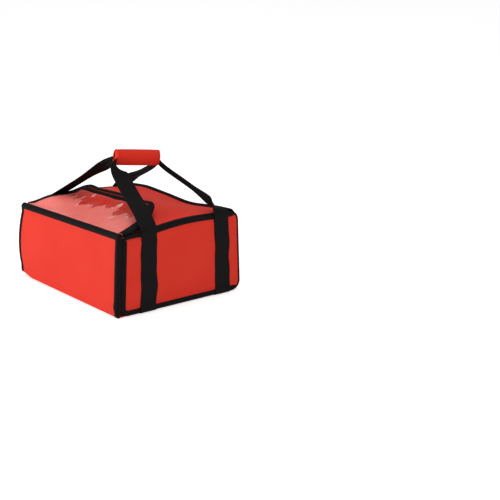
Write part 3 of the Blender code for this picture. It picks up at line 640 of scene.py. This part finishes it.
def makeFront():
    # Cloth: from under the foot's fold up the face, swelled outwards above it
    face = bag["front"]
    foot = turned(lowAxis, footRadius, 285, 180, 12)
    path, out = joined(foot, straight((face, lowAxis[1]), (face, topAxis[1] + 0.004), (-1, 0), 40))
    last = len(foot[0]) - 1
    points = settle(acrossBag(path, out, 70, lambda x, row: 0.0002 + frontSwell(x, path[row, 1]) * (row > last)))
    bend = ("bag", "front_wall", (0, lowAxis[0] + 0.001, bag["floor"] - 0.002), (0, face, lowAxis[1] + 0.004))
    piece = clothPiece("frontCloth", points, redCloth, "red_cloth", ["front_cloth"], bend=bend,
                       thickness=shell["cloth"])

    # Fold tape: down the front face and over the top fold, between wall and flap
    top = topAxis[1] + topRadius
    path, out = joined(straight((face, topAxis[1] - front["tapeDrop"]), (face, topAxis[1]), (-1, 0), 6),
                       turned(topAxis, topRadius, 180, 90, 9),
                       straight((topAxis[0], top), (topAxis[0] + 0.004, top), (0, 1), 2))
    dome = np.interp(np.arange(len(path)), [0, 3, 8, 13, 16], [0.0006, 0.0014, 0.0020, 0.0018, 0.0010])
    points = acrossBag(path, out, 60, lambda x, row: dome[row] + 0.0003 * ripple(x, row * 0.002, 5, 2.0))
    bend = ("front_wall", "flap", (0, face, topAxis[1]), (0, topAxis[0], top))
    clothPiece("foldTape", settle(points), edgeTape, "black_tape", ["fold_tape"], bend=bend,
               thickness=bag["tapeThickness"])

    # Edge tapes of the front wall: U round each upright edge, from under the foot's bend into the top fold
    rows = []
    section = np.array([(-0.0105, -0.0006), (-0.0085, -0.0016), (-0.0050, -0.0021), (-0.0010, -0.0017),
                        (0.0012, 0.0002), (0.0015, 0.0058), (0.0012, 0.0114), (-0.0010, 0.0130), (-0.0130, 0.0124)])
    outer, inner = section[:, 1] < 0.001, section[:, 1] > 0.008
    for direction, word in ((1, "Right"), (-1, "Left")):
        z = np.concatenate([np.linspace(bag["floor"] - 0.0012, lowAxis[1], 8),
                            np.linspace(lowAxis[1], top - 0.0005, 60)[1:]])
        grid = np.empty((len(z), len(section), 3))
        grid[..., 0] = direction * (half + section[:, 0])
        grid[..., 1] = face + section[:, 1]
        grid[..., 2] = z[:, None]
        # Both ends follow the round folds: back by r − √(r² − d²)
        low = np.clip(lowAxis[1] - z, 0.0, footRadius - 0.0001)
        high = np.clip(z - topAxis[1], 0.0, topRadius - 0.0002)
        back = footRadius - np.sqrt(footRadius ** 2 - low ** 2) + (topRadius - np.sqrt(topRadius ** 2 - high ** 2))
        bunch = front["bunch"] * bell(z, *front["bunchPlace"]) * (direction > 0)
        grid[..., 1] += outer * (back - bunch)[:, None]
        grid[..., 1] -= outer * frontSwell(grid[..., 0], grid[..., 2]) * (back < 0.0001)[:, None]
        grid[..., 1] -= inner * (front["footTuck"] * smooth((0.016 - z) / 0.014))[:, None]
        clothPiece(f"frontTape{word}", settle(grid), edgeTape, "black_tape", [f"front_tape_{word.lower()}"],
                   "front_wall", thickness=bag["tapeThickness"])
        z = np.linspace(lowAxis[1] + 0.004, topAxis[1] - 0.004, 50)
        x = np.full(len(z), direction * (half - 0.0082))
        line = np.column_stack([x, face - 0.0025 - frontSwell(x, z), z])
        rows.append(stitchRow(settle(line), (0.0, -1.0, 0.0)))
    x = np.linspace(-half + 0.015, half - 0.015, 90)
    z = np.full(len(x), topAxis[1] - front["tapeDrop"] + 0.002)
    line = np.column_stack([x, face - 0.0018 - frontSwell(x, z), z])
    rows.append(stitchRow(settle(line), (0.0, -1.0, 0.0)))
    stitchPiece("frontStitches", rows, blackThread, "black_tape", "front_wall")


makeFront()


print("flap")
flap = {
    "length": 0.165, "endWidth": 0.305, "foldInset": 0.003, "corner": 0.018, "lift": 0.014, "liftLength": 0.065,
    "clearance": 0.0037, "stack": 0.0046, "windowMargin": 0.0035, "cornerCurl": 0.006, "wrinkle": 0.0012,
    "bow": 2.0, "frameLift": 0.009, "tuck": 0.0125, "cloth": 0.0006, "lining": 0.0005, "film": 0.0004,
    "windowTape": 0.0007, "windowInset": 0.0115, "liningStart": 0.0088,
}
flapEnd = topAxis[0] + flap["length"]


def flapHalf(y):
    # Half width: keeps near the bag's edge, then draws in by the square of the way, with a round end corner
    share = (y - topAxis[0]) / flap["length"]
    wide = half - flap["foldInset"]
    plain = wide + (flap["endWidth"] / 2.0 - wide) * np.clip(share, 0.0, 1.0) ** flap["bow"]
    reach = np.clip(y - (flapEnd - flap["corner"]), 0.0, flap["corner"])
    return plain - (flap["corner"] - np.sqrt(flap["corner"] ** 2 - reach ** 2))


def windowHalf(y):
    # The window's half width: a straight taper inside the edge tape
    share = (y - topAxis[0]) / flap["length"]
    wide = half - flap["foldInset"]
    return wide + (flap["endWidth"] / 2.0 - wide) * share - flap["windowInset"]


def flapLift(x, y, lift):
    # The lifted end + a curl of both end corners
    curl = flap["cornerCurl"] * ramp(np.abs(x), 0.09, 0.06) * ramp(y, flapEnd - 0.05, 0.05)
    return lift * ramp(y, flapEnd - flap["liftLength"], flap["liftLength"]) + curl


def flapHeight(x, y, level):
    # Lid with its crown + the flap's lift + the layer's own level
    return bag["lid"] + lidRise(x, y) + flapLift(x, y, flap["lift"]) + flap["clearance"] + level


def flapRows(start, end, count):
    # Rows from start to end, drawn together where the corners turn
    share = np.linspace(0.0, 1.0, count)
    return start + (end - start) * np.sin(share * math.pi / 2.0) ** 0.85


def flapSheet(y, wide, level, columns=50):
    # A layer of the flap: rows at y, each from −wide to wide, at the flap's height
    x = np.linspace(-1.0, 1.0, columns)[None, :] * wide[:, None]
    rows = np.broadcast_to(y[:, None], x.shape)
    return np.stack([x, rows, flapHeight(x, rows, level(x, rows))], axis=-1)


def makeFlap():
    # Cloth and lining, the cloth drawn in under the front tapes over its first few millimetres
    stack, up = flap["stack"], (0.0, 0.0, 1.0)
    start, liningStart = topAxis[0] + 0.0002, topAxis[0] + flap["liningStart"]
    y = flapRows(start, flapEnd - 0.0003, 60)
    tuck = flap["tuck"] * (1.0 - ramp(y, start, flap["tuck"]))
    points = settle(flapSheet(y, flapHalf(y) - 0.0006 - tuck, lambda x, rows: stack - 0.0003))
    piece = clothPiece("flapCloth", points, redCloth, "red_cloth", ["flap_cloth"], "flap", thickness=flap["cloth"])
    y = flapRows(liningStart, flapEnd - 0.0005, 50)
    points = settle(flapSheet(y, flapHalf(y) - 0.0008, lambda x, rows: 0.0002))
    piece = clothPiece("flapLining", points, liningCloth, "silver_lining", ["flap_lining"], "flap",
                       thickness=flap["lining"])

    # Window: from the fold to a little before the end, slack between its taped edges
    windowEnd = flapEnd - bag["tapeWidth"] - flap["windowMargin"]
    y = np.linspace(start, windowEnd, 60)
    wide = windowHalf(y)

    def slack(x, rows):
        # Ripples that fade out at the window's three taped borders and at the fold
        inside = smooth((wide[:, None] - np.abs(x)) / 0.02) * ramp(rows, topAxis[0], 0.02)
        inside = inside * smooth((windowEnd - rows) / 0.02)
        return stack + 0.0004 + inside * (0.0004 + 2.0 * flap["wrinkle"] * ripple(x * 1.6, rows, 41, 1.3))

    points = flapSheet(y, wide, slack, 90)
    uv = np.stack([points[..., 0], points[..., 1] - start], axis=-1)
    points = settle(points)
    piece = meshPiece("windowVinyl", points, gridFaces(*points.shape[:2]), clearVinyl, uv, flap["film"])
    place(piece, "clear_film", ["window_film"], "flap")

    # Window tape over the window's far edge
    y = np.linspace(windowEnd - bag["tapeWidth"] + 0.0005, windowEnd + 0.0012, 8)
    dome = np.interp(np.arange(8), [0, 1, 3.5, 6, 7], [0.0008, 0.0016, 0.0022, 0.0016, 0.0006])
    points = flapSheet(y, flapHalf(y) - 0.0060, lambda x, rows: stack + dome[:, None] + 0.0 * x)
    clothPiece("windowTape", settle(points), edgeTape, "black_tape", ["window_tape"], "flap",
               thickness=flap["windowTape"])
    seams = [points[3] + (0.0, 0.0, 0.0006)]

    # Edge tape: its path goes up the right side, round the end and back; the section folds over the edge
    cornerStart = flapEnd - flap["corner"]
    corner = cornerStart + flap["corner"] * np.sin(np.radians(np.linspace(0, 90, 14)[1:]))
    y = np.concatenate([np.linspace(liningStart, cornerStart, 40), corner])
    right = np.column_stack([flapHalf(y), y])
    across = np.linspace(1.0, -1.0, 40)[1:-1] * right[-1, 0]
    path = np.vstack([right, np.column_stack([across, np.full(len(across), flapEnd)]), right[::-1] * (-1.0, 1.0)])
    ahead = np.gradient(path, axis=0)
    out = np.column_stack([ahead[:, 1], -ahead[:, 0]]) / np.linalg.norm(ahead, axis=1, keepdims=True)
    out[0], out[-1] = (1.0, 0.0), (-1.0, 0.0)
    section = np.array([(-0.0130, stack + 0.0010), (-0.0100, stack + 0.0019), (-0.0060, stack + 0.0023),
                        (-0.0015, stack + 0.0016), (0.0006, stack * 0.75), (0.0010, stack * 0.4), (0.0002, 0.0),
                        (-0.0020, -0.0008), (-0.0130, -0.0008)])
    # Its upper arm reaches in to the window's border, its widest beside the front straps
    arm = np.full(len(path), bag["tapeWidth"])
    arm[:len(y)] = np.maximum(flapHalf(y) - windowHalf(y), bag["tapeWidth"])
    arm[-len(y):] = arm[:len(y)][::-1]
    reach = np.tile(section[:, 0], (len(path), 1))
    reach[:, 0], reach[:, 1] = -arm, 0.003 - arm
    flat = path[:, None] + out[:, None] * reach[..., None]
    height = flapHeight(flat[..., 0], flat[..., 1], section[None, :, 1])
    points = np.concatenate([flat, height[..., None]], axis=-1)
    clothPiece("flapTape", settle(points), edgeTape, "black_tape", ["flap_tape"], "flap",
               thickness=bag["tapeThickness"])
    seams.append(0.75 * points[:, 1] + 0.25 * points[:, 0] + (0.0, 0.0, 0.0006))
    stitchPiece("flapStitches", [stitchRow(settle(seam), up) for seam in seams], blackThread, "black_tape", "flap")


makeFlap()

print("lid front tape")


def makeLidFrontTape():
    # A U round the lid's front edge, carried straight across
    x = np.linspace(-liningHalf, liningHalf, 60)
    section = np.array([(0.0130, 0.0007), (0.0065, 0.0012), (0.0005, 0.0009), (-0.0008, -0.0030),
                        (-0.0010, -0.0085), (-0.0004, -0.0122), (0.0060, -0.0126), (0.0130, -0.0124)])
    points = np.empty((len(section), len(x), 3))
    points[..., 0] = x
    points[..., 1] = bag["lidFront"] + section[:, 0, None]
    points[..., 2] = bag["lid"] + section[:, 1, None]
    clothPiece("lidFrontTape", settle(points), edgeTape, "black_tape", ["lid_front_tape"], "bag",
               thickness=bag["tapeThickness"])


makeLidFrontTape()

print("handles")


def strapStand(y, z, word):
    # A strap's distance from the side: over the tape at foot and head, else on the cloth's swell
    foot, head = bag["floor"] + bag["tapeWidth"] + 0.0003, bag["lid"] - bag["tapeWidth"] - 0.0003
    settled = smooth((z - foot) / handles["blend"]) * smooth((head - z) / handles["blend"])
    over = handles["overTape"] * (1.0 - settled)
    return np.maximum(over, sideSwell(y, z, word) + 0.0002)


def makeStraps():
    # Under the bag straight across; up each side from the bottom edge, swaying a little as two sine waves do. The
    # band is slightly cupped: its edges lie closer than its middle.
    wide, thick, columns = handles["width"], handles["thickness"], handles["columns"]
    across = np.linspace(-0.5, 0.5, columns)
    cup = handles["cup"] * (1.0 - (2.0 * across) ** 2)
    stitches = []
    for name, y in (("front", handles["front"]), ("rear", handles["rear"])):
        x = np.linspace(-half - 0.0009, half + 0.0009, 80)
        points = np.empty((len(x), columns, 3))
        points[..., 0] = x[:, None]
        points[..., 1] = y + across * wide
        points[..., 2] = thick / 2.0 + 0.0001
        clothPiece(f"strapUnder{name.title()}", points, webbingBand, "black_webbing",
                   [f"strap_under_{name}"], "bag", thickness=thick)
        for direction, word in ((1, "Right"), (-1, "Left")):
            low, _ = turned((half + 0.0011, bag["floor"]), 0.00115, 275, 350, 5)
            z = np.linspace(bag["floor"] + 0.001, bag["lid"] + 0.0012, 70)
            sway = handles["wave"] * (np.sin(z * 46.0 + 9.0 * y) + 0.6 * np.sin(z * 105.0 + direction))
            sway = sway * smooth(z / 0.03) * smooth((bag["lid"] - z) / 0.03)
            breadth = wide + 0.0010 * np.sin(z * 70.0 + y * 30.0)
            grid = np.empty((len(z), columns, 3))
            grid[..., 1] = y + across[None, :] * breadth[:, None] + sway[:, None]
            grid[..., 2] = z[:, None]
            stand = strapStand(grid[..., 1], grid[..., 2], word) + cup[None, :]
            grid[..., 0] = direction * (half + 0.0003 + thick / 2.0 + stand)
            foot = np.empty((len(low), columns, 3))
            foot[..., 0] = direction * low[:, 0, None]
            foot[..., 1] = y + across * wide
            foot[..., 2] = low[:, 1, None]
            grid = settle(np.vstack([foot, grid]))
            clothPiece(f"strapSide{name.title()}{word}", grid, webbingBand, "black_webbing",
                       [f"strap_side_{name}_{word.lower()}"], "bag", thickness=thick)
            for column in (1, 7):
                line = grid[6:-2, column] + np.array((direction * handles["stitchLift"], 0.0, 0.0))
                stitches.append(stitchRow(line, (direction, 0.0, 0.0)))
    stitchPiece("strapStitches", stitches, blackThread, "black_webbing", "bag")


makeStraps()

grip = {
    "length": 0.140, "y": 0.033, "z": 0.3365, "tilt": 9.0, "radius": 0.0105, "flat": 0.014, "cloth": 0.0010,
    "lap": 35.0, "lapLevel": 0.0039, "drop": 0.006, "webbing": 0.020, "pinchStart": 0.93,
    "pinchReach": 0.07, "pinch": 0.78,
    "swell": 0.03, "stitchShare": 0.88, "bend": 0.0070,
}
gripTurn = Matrix.Rotation(math.radians(-grip["tilt"]), 4, "X")
gripFrame = np.array(Matrix.Translation((0.0, grip["y"], grip["z"])) @ gripTurn)
gripDown = -gripFrame[:3, 2]


def inGrip(points):
    # From the grip's own places, along y and about its middle, to the bag's: turned by its tilt, then moved
    return np.asarray(points, float) @ gripFrame[:3, :3].T + gripFrame[:3, 3]


def curve(a, b, c, d, count):
    # Cubic curve: (1−t)³a + 3t(1−t)²b + 3t²(1−t)c + t³d, with its unit tangents
    t = np.linspace(0.0, 1.0, count)[:, None]
    a, b, c, d = [np.asarray(p, float) for p in (a, b, c, d)]
    spot = (1 - t) ** 3 * a + 3 * t * (1 - t) ** 2 * b + 3 * t * t * (1 - t) * c + t ** 3 * d
    ahead = 3 * (1 - t) ** 2 * (b - a) + 6 * t * (1 - t) * (c - b) + 3 * t * t * (d - c)
    return spot, ahead / np.linalg.norm(ahead, axis=1, keepdims=True)


legs = {
    "frontRight": {"turn": (0.72, 1.0), "fold": 0.0012, "sway": 0.0015,
                   "gather": (0.84, 1.0), "leave": (0.30, 0.95), "arrive": (0.42, 0.12, 0.90), "endWidth": 0.030},
    "frontLeft": {"turn": (0.50, 1.05), "fold": 0.0012, "sway": 0.0,
                  "gather": (0.50, 1.0), "leave": (0.90, 0.42), "arrive": (0.90, 0.10, 0.45), "endWidth": 0.021},
    "rearRight": {"turn": (0.0, 0.40), "fold": 0.0016, "sway": 0.002,
                  "gather": (0.0, 0.50), "leave": (0.30, 0.95), "arrive": (0.55, 0.12, 0.80), "endWidth": 0.013},
    "rearLeft": {"turn": (0.0, 0.60), "fold": 0.0016, "sway": 0.001,
                 "gather": (0.0, 0.55), "leave": (0.60, 0.80), "arrive": (0.50, 0.12, 0.84), "endWidth": 0.017},
    "still": 0.058, "startPull": 0.030, "endPull": 0.034, "columns": 13, "steps": 70, "drop": 0.0085,
    "cup": 0.0016, "apart": 0.0010, "endGap": 0.001,
}


def makeLeg(name, y, end, direction, word):
    # Band along a nearly straight curve from the side's top edge to the grip's end: between two shares of its way
    # it turns from lying flat to upright, and it folds lengthwise where the grip gathers it
    settings = legs[name + word]
    thick = handles["thickness"]
    start = settle(np.array([(direction * (half + 0.0041 + thick / 2), y, bag["lid"] + 0.0010)]))[0]
    finish = inGrip((direction * legs["apart"], end * (grip["length"] / 2 - legs["endGap"]), -legs["drop"]))
    leave = np.array((-direction * settings["leave"][0], 0.0, settings["leave"][1]))
    aside, along, down = settings["arrive"]
    arrive = np.array((direction * aside, end * along, -down))
    spot, ahead = curve(start, start + leave * legs["startPull"], finish + arrive * legs["endPull"], finish,
                        legs["steps"])
    share = np.linspace(0.0, 1.0, legs["steps"])[:, None]
    (turnStart, turnEnd), (gatherStart, gatherEnd) = settings["turn"], settings["gather"]
    upright = ramp(share, turnStart, turnEnd - turnStart)
    wide = (1.0 - upright) * np.array((0.0, 1.0, 0.0)) + upright * gripDown
    wide -= (wide * ahead).sum(axis=1, keepdims=True) * ahead
    wide /= np.linalg.norm(wide, axis=1, keepdims=True)
    normal = np.cross(ahead, wide)
    narrow = ramp(share, gatherStart, gatherEnd - gatherStart)
    breadth = handles["width"] + (settings["endWidth"] - handles["width"]) * narrow
    across = np.linspace(-0.5, 0.5, legs["columns"])
    cup = legs["cup"] * (1.0 - (2.0 * across) ** 2)
    folds = settings["fold"] * np.cos(across * 5.0 * math.pi)
    arch = np.sin(share * math.pi)
    sway = settings["sway"] * np.sin(share * 9.0 + y * 40.0) * arch
    lift = cup[None, :] * arch + folds[None, :] * narrow + sway
    points = spot[:, None] + across[None, :, None] * (breadth * wide)[:, None] + lift[..., None] * normal[:, None]
    # Each leg keeps to its own side of the middle
    points[..., 0] = direction * np.maximum(direction * points[..., 0], legs["apart"])
    bend = ("bag", "grip", (0, 0, bag["lid"] + legs["still"]), (0, 0, grip["z"] - 0.014))
    clothPiece(f"strapLeg{name.title()}{word}", points, webbingBand, "black_webbing",
               [f"strap_leg_{name}_{word.lower()}"], bend=bend, thickness=thick)


for name, y, end in (("front", handles["front"], -1.0), ("rear", handles["rear"], 1.0)):
    for direction, word in ((1, "Right"), (-1, "Left")):
        makeLeg(name, y, end, direction, word)

print("grip")


def oval(level, degrees):
    # Ellipse of the grip's section: (r + level) cos a, (r + flat/2 + level) sin a
    a = np.radians(degrees)
    wide, tall = grip["radius"] + level, grip["radius"] + grip["flat"] / 2 + level
    return np.stack([wide * np.cos(a), tall * np.sin(a)], axis=-1)


def alongGrip(section, length, swell, rows=64, pinch=grip["pinch"]):
    # Section × swell(y) carried along the grip, its rows closer together towards the ends, which close nearly flat
    y = np.sin(np.linspace(-math.pi / 2, math.pi / 2, rows)) * length / 2
    scale = swell(y)[:, None]
    end = np.clip((np.abs(y) / (length / 2) - grip["pinchStart"]) / grip["pinchReach"], 0.0, 1.0)
    closed = (pinch * (1.0 - np.sqrt(1.0 - end ** 2)))[:, None]
    points = np.empty((rows, len(section), 3))
    points[..., 0] = section[None, :, 0] * scale * (1.0 - closed)
    points[..., 1] = y[:, None]
    points[..., 2] = section[None, :, 1] * scale
    return points


def gripSwell(y):
    # Full in the middle, with a shallow dent at each row of stitches
    t = np.abs(y) / (grip["length"] / 2)
    return 1.0 + grip["swell"] * ((1.0 - t ** 2) - bell(t, grip["stitchShare"], 0.02))


def lapLevel(degrees):
    # The closing half stands further out on its way round, as it laps over the fixed half
    return grip["lapLevel"] * smooth((90.0 - degrees) / 170.0)


def makeGrip():
    # Two half wraps of the oval section: the fixed half at the back, then the closing half that laps over it
    length = grip["length"]
    degrees = np.linspace(92.0, 270.0, 50)
    fixed = oval(0.0006 + 0.0004 * np.sin(np.radians(degrees * 5)), degrees)
    points = inGrip(alongGrip(fixed, length, gripSwell))
    piece = clothPiece("gripWrap", points, gripCloth, "red_grip_cloth", ["grip_wrap"], "grip",
                       thickness=grip["cloth"])
    degrees = np.linspace(88.0, -90.0 - grip["lap"], 60)
    closing = oval(lapLevel(degrees) + 0.0006, degrees)
    points = inGrip(alongGrip(closing, length, gripSwell))
    top = grip["radius"] + grip["flat"] / 2
    bend = ("grip", "wrap", inGrip((0.0004, 0.0, top)), inGrip((grip["bend"], 0.0, top - 0.0010)))
    piece = clothPiece("gripFlap", points, gripCloth, "red_grip_cloth", ["grip_flap"], bend=bend,
                       thickness=grip["cloth"])

    # Stitches: a ring near each end, and two rows along the closing half
    rows = []
    for t in (-grip["stitchShare"], grip["stitchShare"]):
        ring = np.linspace(80.0, -110.0, 60)
        y = np.full(len(ring), t * length / 2)
        flat = oval(lapLevel(ring) + 0.0012, ring) * gripSwell(y)[:, None]
        out = np.column_stack([np.cos(np.radians(ring)), np.zeros(len(ring)), np.sin(np.radians(ring))])
        line = np.column_stack([flat[:, 0], y, flat[:, 1]])
        rows.append(stitchRow(inGrip(line), out @ gripFrame[:3, :3].T))
    y = np.linspace(-0.86, 0.86, 60) * length / 2
    for degree in (-62.0, 76.0):
        flat = oval(lapLevel(degree) + 0.0012, np.full(len(y), degree)) * gripSwell(y)[:, None]
        out = np.array((math.cos(math.radians(degree)), 0.0, math.sin(math.radians(degree))))
        line = np.column_stack([flat[:, 0], y, flat[:, 1]])
        rows.append(stitchRow(inGrip(line), out @ gripFrame[:3, :3].T))
    stitchPiece("gripStitches", rows, redThread, "red_grip_cloth", "wrap")

    # Webbing inside: the two handles side by side, straight through the grip
    tall = np.linspace(-grip["webbing"] / 2, grip["webbing"] / 2, 7) - grip["drop"]
    for direction, word in ((1, "Right"), (-1, "Left")):
        section = np.stack([np.full(7, direction * legs["apart"]), tall], axis=1)
        points = inGrip(alongGrip(section, length - 0.001, np.ones_like, 30, 0.0))
        clothPiece(f"gripWebbing{word}", points, webbingBand, "black_webbing",
                   [f"grip_webbing_{word.lower()}"], "grip", thickness=handles["thickness"])


makeGrip()

print("hidden layers")
hidden = {
    "bag": ["bottom_board", "back_board", "lid_board", "side_board_right", "side_board_left", "body_lining",
            "lid_lining", "side_lining_right", "side_lining_left", "loop_strip_right", "loop_strip_left"],
    "front_wall": ["front_board", "front_lining"],
    "flap": ["flap_board", "hook_strip_right", "hook_strip_left"],
    "grip": ["grip_pad", "grip_loop_strip"],
    "wrap": ["grip_flap_pad", "grip_hook_strip"],
}


# How far boards keep behind the cloth and tape that cover their borders, and how much smaller the pads are
tuck = {
    "side": 0.004, "bottomSide": 0.014, "bottomFront": 0.012, "front": 0.0015, "frontFoot": 0.013,
    "frontTop": 0.003, "pads": (0.97, 0.84, 0.97), "fill": 0.8, "cuts": 2,
}


def layerMaterial(node):
    # Material and slot by the node's name
    if "lining" in node:
        return liningCloth, "silver_lining"
    if "strip" in node:
        return hookLoop, "hook_and_loop"
    return foamBoard, "foam"


def makeLayer(node, body):
    # A board, lining or strip as its solid says, divided finely and settled with the cloths round it
    work = bmesh.new()
    work.from_mesh(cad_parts[node].data)
    bmesh.ops.remove_doubles(work, verts=work.verts, dist=1e-6)
    bmesh.ops.subdivide_edges(work, edges=work.edges, cuts=tuck["cuts"], use_grid_fill=True)
    mesh = bpy.data.meshes.new(node)
    work.to_mesh(mesh)
    work.free()
    spots = np.empty(len(mesh.vertices) * 3)
    mesh.vertices.foreach_get("co", spots)
    spots = spots.reshape(-1, 3)
    if body in ("grip", "wrap"):
        # The pads end a little before the wrap rounds in
        spots = inGrip((spots - gripFrame[:3, 3]) @ gripFrame[:3, :3] * tuck["pads"])
    else:
        spots = unsettle(spots)
        x, y, z = spots.T
        if node.startswith("side_"):
            spots[:, 1] = np.maximum(y, bag["mouth"] + tuck["side"])
        if node == "bottom_board":
            spots[:, 0] = np.clip(x, tuck["bottomSide"] - half, half - tuck["bottomSide"])
            spots[:, 1] = np.maximum(y, bag["mouth"] + tuck["bottomFront"])
        if node == "front_board":
            spots[:, 1] = np.maximum(y, bag["front"] + tuck["front"])
            spots[:, 2] = np.clip(z, bag["floor"] + tuck["frontFoot"], topAxis[1] - tuck["frontTop"])
            spots[:, 0] = np.clip(x, tuck["front"] - half, half - tuck["front"])
        if body == "flap":
            spots[:, 2] += flapLift(x, y, flap["lift"] - flap["frameLift"])
        spots = settle(spots)
    mesh.vertices.foreach_set("co", spots.ravel())
    material, slot = layerMaterial(node)
    mesh.materials.clear()
    mesh.materials.append(material)
    setUv(mesh, np.column_stack([spots[:, 0], spots[:, 2] + spots[:, 1]]))
    smoothShade(mesh, 40.0)
    words = node.split("_")
    piece = newObject(words[0] + "".join(word.title() for word in words[1:]), mesh)
    place(piece, slot, [node], body)


for body, nodes in hidden.items():
    for node in nodes:
        makeLayer(node, body)


print("floor, lights and camera")
stageSet = {
    "floorSize": 12.0, "floorDrop": 0.0006, "floorColour": "#f2f2f2", "floorGlow": 0.50, "world": 0.50,
    "camera": (3.368, -2.259, 1.324), "azimuth": 51.6, "elevation": 17.0, "lens": 115.2,
}
# Each light's place, target, power and size
lights = {
    "key light": ((-1.3, -3.3, 1.0), (0.0, 0.0, 0.12), 84.0, 2.2),
    "fill light": ((3.4, -0.4, 1.6), (0.0, 0.0, 0.12), 26.0, 2.5),
    "top light": ((0.3, 0.2, 3.2), (0.0, 0.0, 0.2), 29.0, 3.0),
}
white = (1.0, 1.0, 1.0, 1.0)


def makeFloor():
    # Matt pale paper; the camera sees it a little brighter than it is lit, so it goes to white
    size, level = stageSet["floorSize"], -stageSet["floorDrop"]
    corners = [(-size, -size, level), (size, -size, level), (size, size, level), (-size, size, level)]
    mesh = bpy.data.meshes.new("floor")
    mesh.from_pydata(corners, [], [(0, 1, 2, 3)])
    material, tree, shader = newMaterial("matt pale paper", stageSet["floorColour"], 0.95,
                                         {"Specular IOR Level": 0.0, "Emission Color": white})
    light = addNode(tree, "ShaderNodeLightPath")
    seen = addNode(tree, "ShaderNodeMath", {"operation": "MAXIMUM"},
                   {0: light.outputs["Is Camera Ray"], 1: light.outputs["Is Glossy Ray"]})
    seen = addNode(tree, "ShaderNodeMath", {"operation": "MAXIMUM"},
                   {0: seen.outputs[0], 1: light.outputs["Is Transmission Ray"]})
    glow = addNode(tree, "ShaderNodeMath", {"operation": "MULTIPLY", 1: stageSet["floorGlow"]},
                   {0: seen.outputs[0]})
    tree.links.new(glow.outputs[0], shader.inputs["Emission Strength"])
    mesh.materials.append(material)
    newObject("floor", mesh)


def makeWorld():
    # White where it is seen, and a dimmer white as light
    world = bpy.data.worlds.new("studio")
    bpy.context.scene.world = world
    world.use_nodes = True
    tree = world.node_tree
    tree.nodes.clear()
    light = addNode(tree, "ShaderNodeLightPath")
    seen = addNode(tree, "ShaderNodeMath", {"operation": "MAXIMUM"},
                   {0: light.outputs["Is Camera Ray"], 1: light.outputs["Is Transmission Ray"]})
    ambient = addNode(tree, "ShaderNodeBackground", {"Color": white, "Strength": stageSet["world"]})
    shown = addNode(tree, "ShaderNodeBackground", {"Color": white, "Strength": 1.0})
    mix = addNode(tree, "ShaderNodeMixShader", None,
                  {0: seen.outputs[0], 1: ambient.outputs[0], 2: shown.outputs[0]})
    addNode(tree, "ShaderNodeOutputWorld", None, {"Surface": mix.outputs[0]})


def areaLight(name, spot, target, power, size):
    # A square light that faces its target
    lamp = bpy.data.lights.new(name, "AREA")
    lamp.energy, lamp.shape, lamp.size = power, "SQUARE", size
    holder = newObject(name, lamp)
    holder.location = spot
    holder.rotation_euler = (Vector(target) - Vector(spot)).to_track_quat("-Z", "Y").to_euler()


def makeCamera():
    # Turned by its azimuth from the front and its elevation
    a, e = math.radians(stageSet["azimuth"]), math.radians(stageSet["elevation"])
    back = Vector((math.sin(a) * math.cos(e), -math.cos(a) * math.cos(e), math.sin(e)))
    camera = bpy.data.cameras.new("camera")
    camera.sensor_width, camera.lens, camera.clip_end = 36.0, stageSet["lens"], 50.0
    holder = newObject("camera", camera)
    holder.location = stageSet["camera"]
    holder.rotation_euler = back.to_track_quat("Z", "Y").to_euler()
    bpy.context.scene.camera = holder


makeFloor()
makeWorld()
for name, settings in lights.items():
    areaLight(name, *settings)
makeCamera()
bpy.context.scene.view_settings.view_transform = "Standard"
